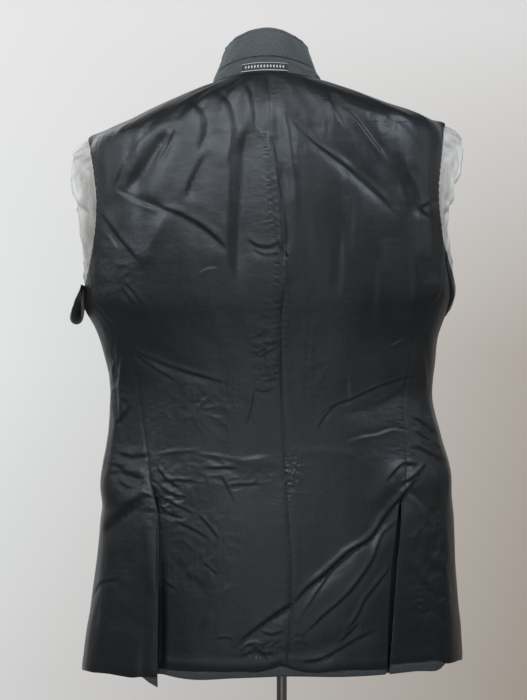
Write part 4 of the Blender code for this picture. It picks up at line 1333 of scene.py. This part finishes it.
# Rings run from the armhole's seam over the puff to the throat, and then into the sleeve
SLEEVE_LINING = dict(
    columns=144,
    rings=(
        dict(size=1.000, out=-0.0004, puff=0.02),
        dict(size=0.985, out=0.0016, puff=0.22),
        dict(size=0.955, out=0.0020, puff=0.60),
        dict(size=0.900, out=0.0020, puff=0.92),
        dict(size=0.830, out=0.0015, puff=1.03),
        dict(size=0.760, out=-0.0010, puff=0.72),
        dict(size=0.710, out=-0.0050, puff=0.15),
    ),
    throat=dict(size=0.700, out=-0.0076, puff=0.0, lean=0.0004),
    half_turns=(29.0, 25.0),
    half_thickness=0.0088,
    thickness=0.0006,
    finish=STRIPED,
    slot="striped_lining",
)
SLEEVE_WOOL = dict(
    columns=72,
    rings=(dict(size=0.965, out=-0.0033, puff=0.0),),
    throat=dict(size=0.900, out=-0.0078, puff=0.0, lean=0.0036),
    half_turns=(30.2, 26.2),
    half_thickness=0.0110,
    thickness=0.0013,
    finish=WOOL,
    slot="grey_wool",
)
PUFF_ROWS = 8  # rows from one of the lining's rings to the next
SLEEVE_LEVELS = (SLEEVE_TOP, 1.130, 1.080, 1.030, 0.905, 0.778)


def ring_angles(count):
    return np.arange(count) * 2 * math.pi / count


def arm_ring(name, columns, size, out, puff, lean=0.0):
    """A ring parallel to the armhole's edge, as turn, rise and distance out."""
    angle = ring_angles(columns)
    up, back = np.cos(angle), np.sin(angle)
    scale = size * squared_off(up, back, ARM_SQUARENESS)
    half_turn = np.where(back > 0, ARM_BACK, ARM_FRONT)
    turn = math.pi / 2 - half_turn * back * scale
    rise = ARM_MIDDLE + ARM_HALF_HEIGHT * up * scale
    return np.stack([turn, rise, out - lean * up + puff * PUFF.at(name, rise)])


def signed_power(value, power):
    return np.sign(value) * np.abs(value) ** power


def tube_ring(columns, height, half_turn, half_thickness):
    """A ring of the hanging sleeve. The top of the armhole becomes its inner side."""
    angle = ring_angles(columns)
    turn = math.pi / 2 - half_turn * signed_power(np.sin(angle), 0.8)
    out = SLEEVE_DEPTH - half_thickness * signed_power(np.cos(angle), 0.8)
    return np.stack([turn, np.full(columns, height), out])


def between_rings(rings, counts):
    """More rings on a smooth path through the given ones."""
    rings = np.array(rings)
    made = []
    for row, count in enumerate(counts):
        before, after = max(row - 1, 0), min(row + 2, len(rings) - 1)
        a, b, c, d = rings[before], rings[row], rings[row + 1], rings[after]
        for t in np.arange(count) / count:
            curve = 2 * b + (c - a) * t + (2 * a - 5 * b + 4 * c - d) * t**2
            made.append((curve + (3 * b - a - 3 * c + d) * t**3) / 2)
    return np.array(made + [rings[-1]])


def sleeve(side, name, layer):
    """One sleeve's lining or its wool, from the armhole down to the cuff."""
    lining = layer == "lining"
    made = SLEEVE_LINING if lining else SLEEVE_WOOL
    columns, thick = made["columns"], made["half_thickness"]
    rings = [arm_ring(name, columns, **ring) for ring in made["rings"]]
    throat = arm_ring(name, columns, **made["throat"])
    wide, narrow = np.radians(made["half_turns"])
    tube = tube_ring(columns, SLEEVE_TOP, wide, thick)
    rings += [throat + (tube - throat) * share for share in (0.30, 0.62, 0.86)]
    for row, height in enumerate(SLEEVE_LEVELS):
        half_turn = wide + (narrow - wide) * (row / (len(SLEEVE_LEVELS) - 1))
        rings.append(tube_ring(columns, height, half_turn, thick))
    counts = [PUFF_ROWS] * 6 if lining else []
    counts += [4] * (len(rings) - 1 - len(counts))
    turn, rise, out = np.moveaxis(between_rings(rings, counts), 1, 0)
    angle = ring_angles(columns)
    if lining:
        out = out + puff_folds(side, np.broadcast_to(angle, out.shape))
    points = off_body(side * turn, rise, out)
    half = sheet_normals(points, ring=True) * made["thickness"] / 2
    down = np.concatenate([[0], np.cumsum(steps_between(points, 0).mean(axis=1))])
    grain = signed_power(np.sin(angle), 0.35) * (0.092 - 0.045 * ease(down / 0.09))[:, None]
    inner, outer = points + half * side, points - half * side
    node = f"sleeve_lining_{name}" if lining else f"sleeve_{name}"
    uv = pairs(grain, down[:, None])
    return add_wall(node, inner, outer, made["finish"], made["slot"], uv, ring=True, coarse=2)


# Creases across a puff: where each leaves the armhole's seam, from 0 at the top round the
# back, how far it has leaned when it reaches the sleeve, half width in degrees, and depth
PUFF_CREASES = dict(
    left=(
        (104, -34, 3, 0.0036),
        (66, 18, 4, 0.0024),
        (132, -20, 3, 0.0024),
        (88, 6, 2.5, 0.0018),
    ),
    right=(
        (58, 30, 3.5, 0.0034),
        (84, 20, 2.5, 0.0024),
        (116, -24, 3.5, 0.0024),
        (100, 8, 2.5, 0.0018),
    ),
)


def puff_folds(side, angle):
    """Gathers that run in from the armhole's seam, and the softer folds across the puff."""
    row = np.arange(len(angle))[:, None] / (6 * PUFF_ROWS)
    on_puff = np.where(row < 1.2, np.sin(math.pi * np.clip(row / 1.2, 0, 1)) ** 0.8, 0)
    around = angle * 6 / math.pi
    gathers = CREASED.creased(around * 2.2 + 9 * side, row * 2.1 + 4)
    soft = BROAD.at(around * 1.1 + 5 * side, row * 1.6 + 8)
    fine = CREASED.creased(around * 5.1 + 3 * side, row * 4.6 + 1)
    total = 0.0016 * gathers + 0.0009 * fine + 0.0012 * soft - 0.0042
    for at, lean, wide, deep in PUFF_CREASES["left" if side < 0 else "right"]:
        aside = np.degrees(angle) - at - lean * row
        total = total - deep * np.exp(-(np.abs(aside / wide) ** 1.3))
        total = total + 0.6 * deep * bell((aside + 2.4 * wide) / (1.6 * wide))
    at_seam = bell(row / 0.16) * np.cos(angle * 46 + 2 * BROAD.at(around * 2, row * 0))
    return on_puff * total + 0.0007 * at_seam


# Collar

COLLAR_THICKNESS = 0.0030
COLLAR_END = math.radians(163)
COLLAR = Table(
    "row half_width back front back_height side_height front_height tilt",
    (0, 0.0676, 0.0852, 0.0592, 1.4700, 1.4648, 1.4100, 0.017),
    (1, 0.0648, 0.0846, 0.0570, 1.4810, 1.4735, 1.4220, 0.010),
    (2, 0.0615, 0.0835, 0.0540, 1.4900, 1.4790, 1.4320, 0.002),
    (3, 0.0560, 0.0808, 0.0500, 1.5070, 1.4950, 1.4500, 0.0),
    (4, 0.0500, 0.0755, 0.0460, 1.5262, 1.5110, 1.4660, 0.0),
)
COLLAR_JOIN = 0.028  # half the gap between stand and fall, in rows
STITCH_SPACING = 0.0045
STITCHED_AT = 0.86  # how far up the fall its turned edge is stitched


def collar_ring(row, turn):
    """Points of a ring of the collar. Whole rows are those of COLLAR."""
    _, half, back, front, *heights, tilt = (COLLAR.at(name, row) for name in COLLAR.columns)
    x = half * np.sin(turn)
    depth = np.where(np.cos(turn) > 0, back, front)
    z = by_heading(turn, *heights) + tilt * x
    return np.stack([x + NECK_CENTRE, -depth * np.cos(turn), z], axis=-1)


def collar_band(name, low, high, turned_edge):
    """The stand or the fall: cloth in two layers with rounded edges."""
    turn = np.linspace(-COLLAR_END, COLLAR_END, 200)
    ends = [0, 0.012, 0.03, 0.06], [0.94, 0.97, 0.988, 1]
    share = np.concatenate([ends[0], np.linspace(0.1, 0.9, 26), ends[1]])[:, None]
    rows = low + (high - low) * share
    grid = np.stack([collar_ring(row, turn) for row in rows[:, 0]])
    normal = sheet_normals(grid, ring=False)
    half = COLLAR_THICKNESS / 2 * rounded(np.minimum(share, 1 - share) / 0.07, 0.04)
    half = half * rounded(np.minimum(turn - turn[0], turn[-1] - turn) / 0.03, 0.04)
    bumpy = 0.0009 * BROAD.at(turn * 5 + low * 3, rows * 1.5)
    bumpy = bumpy + 0.0004 * BROAD.at(turn * 13 + low, rows * 3.1 + 5)
    stitched = 0.0
    if turned_edge:
        stitch = 0.5 + 0.5 * np.cos(turn * 0.07 / STITCH_SPACING * 2 * math.pi)
        stitched = 0.0004 * ease((share - STITCHED_AT) / 0.06)
        stitched = stitched - (0.0006 + 0.0003 * stitch) * bell((share - STITCHED_AT) / 0.028)
    outer = grid + normal * (half + bumpy + stitched)[..., None]
    inner = grid - normal * (half - bumpy)[..., None]
    uv = pairs(turn * 0.075, rows * 0.014)
    return add_wall(name, inner, outer, WOOL, "grey_wool", uv, coarse=2)


def collar():
    stand = collar_band("collar_stand", 0.0, 2 - COLLAR_JOIN, False)
    return [stand, collar_band("collar_fall", 2 + COLLAR_JOIN, 4.0, True)]


LABEL_HALF_LENGTH = 0.0276
LABEL_LEFT_OF_CENTRE = 0.004
LABEL_LOW, LABEL_HIGH = 0.12, 1.26  # rows of the collar


def label():
    """The label that lies on the stand, thin towards its edges."""
    half_turn = LABEL_HALF_LENGTH / 0.0648
    turn = np.linspace(-half_turn, half_turn, 90) - LABEL_LEFT_OF_CENTRE / NECK_BACK
    share = np.linspace(0, 1, 24)[:, None]
    rows = LABEL_LOW + (LABEL_HIGH - LABEL_LOW) * share[:, 0]
    grid = np.stack([collar_ring(row, turn) for row in rows])
    normal = sheet_normals(grid, ring=False)
    from_end = np.minimum(turn - turn[0], turn[-1] - turn) / 0.02
    half = 0.00035 * rounded(np.minimum(np.minimum(share, 1 - share) / 0.10, from_end), 0.05)
    near = COLLAR_THICKNESS / 2 + 0.0007 + 0.0003 * BROAD.at(turn * 14, share * 2)
    outer = grid + normal * (near + half)[..., None]
    inner = grid + normal * (near - half)[..., None]
    uv = pairs(np.linspace(0, 1, len(turn)), share)
    return add_wall("neck_label", inner, outer, LABEL, "label_weave", uv)


# Shields, buttons and the stand


def shield_right():
    """A padded half-moon shield that lies flat below the armhole."""
    middle, corner = 1.166, 1.228
    turn = np.radians(np.linspace(70, 110, 70))
    share = np.linspace(-1, 1, 70)
    top = arm_bottom(turn) - 0.004
    bottom = middle + (corner - middle) * np.abs(share) ** 2.4
    down = np.linspace(0, 1, 46)[:, None]
    rise = top + (np.minimum(bottom, top - 0.006) - top) * down
    edge = np.minimum(1 - np.abs(share)[None, :], np.minimum(down, 1 - down) * 1.6)
    full = ease(edge / 0.35)
    turn = np.broadcast_to(turn, rise.shape)
    low = LINING_OUT + 0.0003 + relief(body_shape(turn, rise), turn, rise)
    puckers = 0.0005 * np.cos(share * 60)[None, :] * bell(edge / 0.10)
    soft = 0.0010 * BROAD.at(turn * 18, rise * 40)
    inner = off_body(turn, rise, low)
    outer = off_body(turn, rise, low + 0.0008 + 0.0018 * full + (0.4 * soft + puckers) * full)
    return add_wall("shield_right", inner, outer, SATIN, "dark_satin", pairs(turn * GIRTH, rise))


def shield_left():
    """The other shield hangs free of the armhole, folded into a drop shape."""
    top = np.array([-0.2501, 1.2115])
    bottom = np.array([-0.2597, 1.1700])
    round_radius = 0.0078
    half_long = 0.036
    down = (bottom - top) / np.linalg.norm(bottom - top)
    across = np.array([down[1], -down[0]])
    angles = np.radians(np.linspace(-100, 100, 25))
    arc = [bottom + round_radius * (math.cos(a) * down + math.sin(a) * across) for a in angles]
    first, last = top - across * 0.0012, top + across * 0.0012
    sides = np.linspace(0, 1, 12, endpoint=False)
    waist = across * 0.0042 * np.sin(math.pi * sides)[:, None]
    down_side = first + (arc[0] - first) * sides[:, None] + waist
    up_side = arc[-1] + (last - arc[-1]) * (1 - sides)[:, None] - waist * 0.4
    outline = np.concatenate([down_side, arc, up_side[::-1]])
    rings = []
    for share in np.sin(np.linspace(-math.pi / 2, math.pi / 2, 41)):
        size = 0.25 + 0.75 * math.sqrt(max(0.0, 1 - share * share))
        ring = top + (outline - top) * size
        wave = 0.0006 * math.cos(share * 30) * (1 - size)
        rings.append([(x + wave, share * half_long, z) for x, z in ring])
    return add_rings("shield_left", rings, SATIN, "dark_satin", sharp=60)


def turned_rings(profile, count, centre=(0, 0)):
    """Rings of points round an upright line, from a profile's radii and heights."""
    angle = ring_angles(count)
    across, along = np.cos(angle), np.sin(angle)
    return [
        np.stack([centre[0] + r * across, centre[1] + r * along, np.full(count, z)], axis=-1)
        for r, z in profile
    ]


def arc_profile(out, up, radius, start, end, count=7):
    """Points of a rounding, as radius and height, between two angles in degrees."""
    angles = np.radians(np.linspace(start, end, count))
    return [(out + radius * math.cos(a), up + radius * math.sin(a)) for a in angles]


def stand():
    """The foot, socket, pole and flange, with rounded edges."""
    top, edge = FOOT_THICKNESS, 0.003
    foot = [(FOOT_RADIUS - 0.001, 0.0), (FOOT_RADIUS, 0.001)]
    foot += arc_profile(FOOT_RADIUS - edge, top - edge, edge, 0, 90)
    foot += [(0.120, top), (0.060, top), (0.024, top)]
    bore = POLE_RADIUS + TOUCH
    low = top + TOUCH
    socket = [(bore, low), (0.0195, low), (0.0200, low + 0.0005)]
    socket += arc_profile(0.0185, low + 0.0105, 0.0015, 0, 80, 5)
    socket += [(0.0125, low + 0.0185), (0.0115, low + 0.021)]
    socket += arc_profile(0.0107, low + 0.0332, 0.0008, 0, 90, 4) + [(bore, low + 0.034)]
    under = FORM_BOTTOM - TOUCH
    pole_top = under - 0.006
    pole = [(POLE_RADIUS, z) for z in np.linspace(low, pole_top, 40)]
    ceiling = pole_top + TOUCH
    rim = ceiling - 0.030
    flange = [(bore, rim), (0.0115, rim), (0.012, rim + 0.0005), (0.012, under - 0.012)]
    flange += [(0.0445, under - 0.0065), (0.045, under - 0.006), (0.045, under)]
    flange += [(0.002, under), (0.002, ceiling), (bore, ceiling)]
    cap = [(0.0335, 1.4963), (0.034, 1.4968)] + arc_profile(0.0315, 1.5010, 0.0025, 0, 90)
    cap += [(0.015, 1.5038), (0.003, 1.5038)]
    neck = (NECK_CENTRE, NECK_MIDDLE)
    for node, rings, finish, slot, hollow in (
        ("base_plate", turned_rings(foot, 160), STEEL, "foot_steel", False),
        ("base_socket", turned_rings(socket, 64), STEEL, "foot_steel", True),
        ("pole", turned_rings(pole, 48), STEEL, "foot_steel", False),
        ("form_flange", turned_rings(flange, 64), STEEL, "foot_steel", True),
        ("neck_cap", turned_rings(cap, 72, neck), BEECH, "beech", False),
    ):
        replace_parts(add_rings(node + "_finished", rings, finish, slot, hollow), node)


NECK_RINGS = (
    (0.0520, (1.4690, 1.4650, 1.4120), 0.017),
    (0.0475, (1.4800, 1.4770, 1.4400), 0.008),
    (0.0455, (1.4960, 1.4960, 1.4960), 0.0),
)


def form():
    """The torso of the form under its knitted cover."""
    turn = np.linspace(0, 2 * math.pi, 120, endpoint=False)
    side, back = np.sin(turn), np.cos(turn)
    size = squared_off(side, back, FORM_SQUARENESS)
    grid = []
    levels = [
        (FORM_BOTTOM + 0.014 * (1 - math.cos(a)), 0.012 * (1 - math.sin(a)))
        for a in np.linspace(0, math.pi / 2, 8)
    ]
    levels += [(height, 0.0) for height in np.linspace(0.82, 1.36, 60)]
    for height, inset in levels:
        depth = np.where(back > 0, FORM.at("back", height), FORM.at("front", height)) - inset
        x = (FORM.at("half_width", height) - inset) * side * size + FORM.at("centre", height)
        grid.append(np.stack([x, -depth * back * size, np.full(turn.shape, height)], axis=-1))
    signed = (turn + math.pi) % (2 * math.pi) - math.pi
    for share in np.linspace(0.42, 0.88, 14):
        rise = SHOULDER + OVER_SHOULDER * share
        deep = -0.0075 - fold_depth(body_shape(signed, rise), signed)
        grid.append(off_body(signed, rise, deep))
    for half, heights, tilt in NECK_RINGS:
        x = half * side
        z = by_heading(turn, *heights) + tilt * x
        grid.append(np.stack([x + NECK_CENTRE, NECK_MIDDLE - NECK_OVAL * half * back, z], axis=-1))
    made = add_rings("form_body_covered", grid, JERSEY, "form_jersey")
    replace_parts(made, "form_body")


BUTTON_TURN = -174.0  # degrees
BUTTON_RISES = dict(button_upper=1.075, button_lower=0.965)
BUTTON_RADIUS, BUTTON_THICKNESS = 0.010, 0.0032
BUTTON_OFF_BODY = 0.0016 + 0.0011  # the front's cloth and the thread


def buttons():
    """Two dished horn buttons, on the side that faces the form."""
    turn = np.array(math.radians(BUTTON_TURN))
    radius, thickness = BUTTON_RADIUS, BUTTON_THICKNESS
    # Radius and height of the turned profile, as shares of the button's own
    profile = (
        (0.02, -1.0), (0.85, -1.0), (0.97, -0.75), (1.0, -0.1), (0.97, 0.75),
        (0.88, 1.0), (0.72, 0.75), (0.66, 0.35), (0.02, 0.35),
    )
    rings = turned_rings([(r * radius, h * thickness / 2) for r, h in profile], 48)
    for name, rise in BUTTON_RISES.items():
        facing = -outward(turn, rise)
        middle = body_shape(turn, rise) + facing * (BUTTON_OFF_BODY + thickness / 2)
        turned = Vector(facing).to_track_quat("Z", "Y").to_euler()
        made = add_rings(name + "_finished", rings, HORN, "horn", place=middle, turned=turned)
        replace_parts(made, name)


# Stage


def wall_and_floor():
    floor = Finish("studio_floor", 0.7)
    grain = floor.noise((3, 3, 3), detail=2, of="space")
    pale = floor.ramp(grain, (0.4, (0.66, 0.66, 0.65)), (0.6, (0.69, 0.69, 0.68)))
    bpy.ops.mesh.primitive_circle_add(
        vertices=96, radius=3.4, fill_type="NGON", location=(0, 0, -0.0005)
    )
    disc = bpy.context.object
    disc.name = "floor"
    disc.data.materials.append(floor.colour(pale))
    # The wall is no lamp but glows: painted light, bright at the upper left and falling to a warm
    # painted shade towards the lower right.
    wall = Finish("studio_wall", 0.9)
    wall.set("Specular IOR Level", 0.0)
    wall.set("Base Color", (0, 0, 0, 1))
    wall.set("Emission Strength", 1.0)
    x, _, z = wall.parts(wall.place(of="space"))
    across = wall.math("ADD", wall.math("MULTIPLY", x, 0.376), 0.5)
    down = wall.math("ADD", wall.math("MULTIPLY", z, -0.285), 0.817)
    left, right = (
        wall.ramp(down, (0.03, top), (0.5, middle), (0.97, bottom))
        for top, middle, bottom in (
            ((0.80, 0.80, 0.80), (0.75, 0.775, 0.77), (0.63, 0.63, 0.63)),
            ((0.70, 0.70, 0.70), (0.425, 0.385, 0.35), (0.34, 0.30, 0.26)),
        )
    )
    wall.link(wall.blend(across, left, right), wall.shader.inputs["Emission Color"])
    points = [(-9, 8, -4), (9, 8, -4), (9, 8, 8), (-9, 8, 8)]
    mesh = bpy.data.meshes.new("wall")
    mesh.from_pydata(points, [], [(0, 3, 2, 1)])
    mesh.materials.append(wall.made)
    put("wall", mesh)


def lamp(name, place, target, size, power, colour, spread=180):
    light = bpy.data.lights.new(name, "AREA")
    light.shape = "RECTANGLE"
    light.size, light.size_y = size
    light.energy = power
    light.spread = math.radians(spread)
    light.color = colour
    made = put(name, light)
    made.visible_camera = False
    made.location = place
    made.rotation_euler = (Vector(target) - Vector(place)).to_track_quat("-Z", "Y").to_euler()


# Name, place, target, size, power in watts, colour, and spread in degrees where not 180
LAMPS = (
    ("ceiling_softbox", (-0.35, -1.1, 2.40), (0.0, 0, 1.38), (1.0, 0.6), 0.65, (0.95, 0.98, 1.0)),
    (
        "front_softbox", (-0.35, -1.50, 1.9), (-0.12, 0, 1.29), (0.6, 0.5), 1.0,
        (0.86, 0.93, 1.0), 75,
    ),
    ("left_softbox", (-1.5, -1.3, 2.1), (0, 0, 1.32), (0.6, 0.6), 1.30, (0.84, 0.92, 1.0), 50),
    ("right_softbox", (1.3, -1.2, 2.3), (0.22, 0, 1.32), (0.6, 0.6), 1.05, (0.80, 0.89, 1.0), 40),
    ("right_window", (2.3, -0.3, 1.9), (0.1, 0, 1.42), (0.7, 0.9), 0.28, (0.86, 0.92, 1.0), 44),
    ("neck_light", (0.0, -0.9, 2.2), (-0.02, 0, 1.55), (0.2, 0.2), 0.105, (0.95, 0.98, 1.0), 16),
    ("top_front", (-0.5, -2.0, 2.8), (0.02, 0, 0.91), (0.5, 0.5), 0.9, (0.92, 0.97, 1.0), 36),
    ("low_front", (0.0, -2.2, 0.8), (0, 0, 1.14), (1.6, 0.9), 1.05, (0.95, 0.98, 1.0), 90),
    ("window", (-2.3, -0.3, 1.9), (-0.1, 0, 1.38), (0.7, 0.9), 0.50, (0.93, 0.96, 1.0), 50),
    ("fill", (2.6, -1.6, 1.5), (0, 0, 1.1), (1.4, 2.0), 1.7, (1.0, 0.93, 0.86)),
    ("front_window", (-1.8, 1.9, 2.6), (0, 0, 1.1), (1.6, 1.6), 20, (0.97, 0.99, 1.0)),
)


def lights():
    for row in LAMPS:
        lamp(*row)
    world = bpy.data.worlds.new("studio")
    bpy.context.scene.world = world
    world.use_nodes = True
    background = world.node_tree.nodes["Background"].inputs
    background["Color"].default_value = (0.80, 0.81, 0.82, 1)
    background["Strength"].default_value = 0.13


LENS, SENSOR_WIDTH = 109.75, 36  # millimetres
CAMERA_PLACE = (-0.023, -2.7, 1.13)


def camera():
    eye = bpy.data.cameras.new("camera")
    eye.lens, eye.sensor_width = LENS, SENSOR_WIDTH
    made = put("camera", eye)
    made.location = CAMERA_PLACE
    made.rotation_euler = (math.radians(90), 0, 0)
    bpy.context.scene.camera = made
    bpy.context.scene.view_settings.view_transform = "Standard"


# The cut of each piece of cloth: width, length and area when flat, in metres, how it is
# held, and what it hangs from or lies on
CUTS = {
    "lining_back": (0.270, 0.800, 0.160, "hung", ["shell_back_{}"]),
    "shell_back": (0.270, 0.820, 0.160, "hung", ["form_body"]),
    "lining_side": (0.260, 0.500, 0.095, "hung", ["shell_side_{}"]),
    "shell_side": (0.260, 0.510, 0.095, "hung", ["shell_back_{}"]),
    "lining_front": (0.160, 0.810, 0.086, "hung", ["shell_front_{}"]),
    "facing": (0.150, 0.830, 0.072, "hung", ["shell_front_{}"]),
    "shell_front": (0.250, 0.850, 0.156, "hung", ["form_body"]),
    "sleeve_lining": (0.330, 0.500, 0.130, "gathered", ["lining_back_{}", "lining_front_{}"]),
    "sleeve": (0.310, 0.440, 0.115, "hung", ["shell_back_{}", "shell_front_{}"]),
    "collar_stand": (0.380, 0.024, 0.0080, "stretched", ["shell_back_left", "shell_back_right"]),
    "collar_fall": (0.340, 0.042, 0.0135, "stretched", ["collar_stand"]),
    "neck_label": (0.055, 0.014, None, "laid", ["collar_stand"]),
}


def declare_cuts(cloth):
    """Looks up each piece of cloth's cut and what it rests on, shields left out; nothing more is
    done with them.
    """
    for piece in cloth:
        kind, _, side = piece.name.removesuffix("_cloth").rpartition("_")
        if kind == "shield":
            continue
        if side not in ("left", "right"):
            kind = f"{kind}_{side}"
        width, length, area, held, rests_on = CUTS[kind]
        rests_on = [name.format(side) for name in rests_on]


def main():
    camera()
    lights()
    wall_and_floor()
    cloth = []
    for side, name in ((-1, "left"), (1, "right")):
        cloth += back_panels(side, name)
        cloth += side_panels(side, name)
        cloth += front_panels(side, name)
        cloth += [sleeve(side, name, "lining"), sleeve(side, name, "wool")]
    cloth += collar()
    cloth += [label(), shield_right(), shield_left()]
    for piece in cloth:
        node = piece.name.removesuffix(".001")  # the CAD's own object has the plain name
        piece.name = node + "_cloth"
        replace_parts(piece, node)
    declare_cuts(cloth)
    form()
    stand()
    buttons()


main()
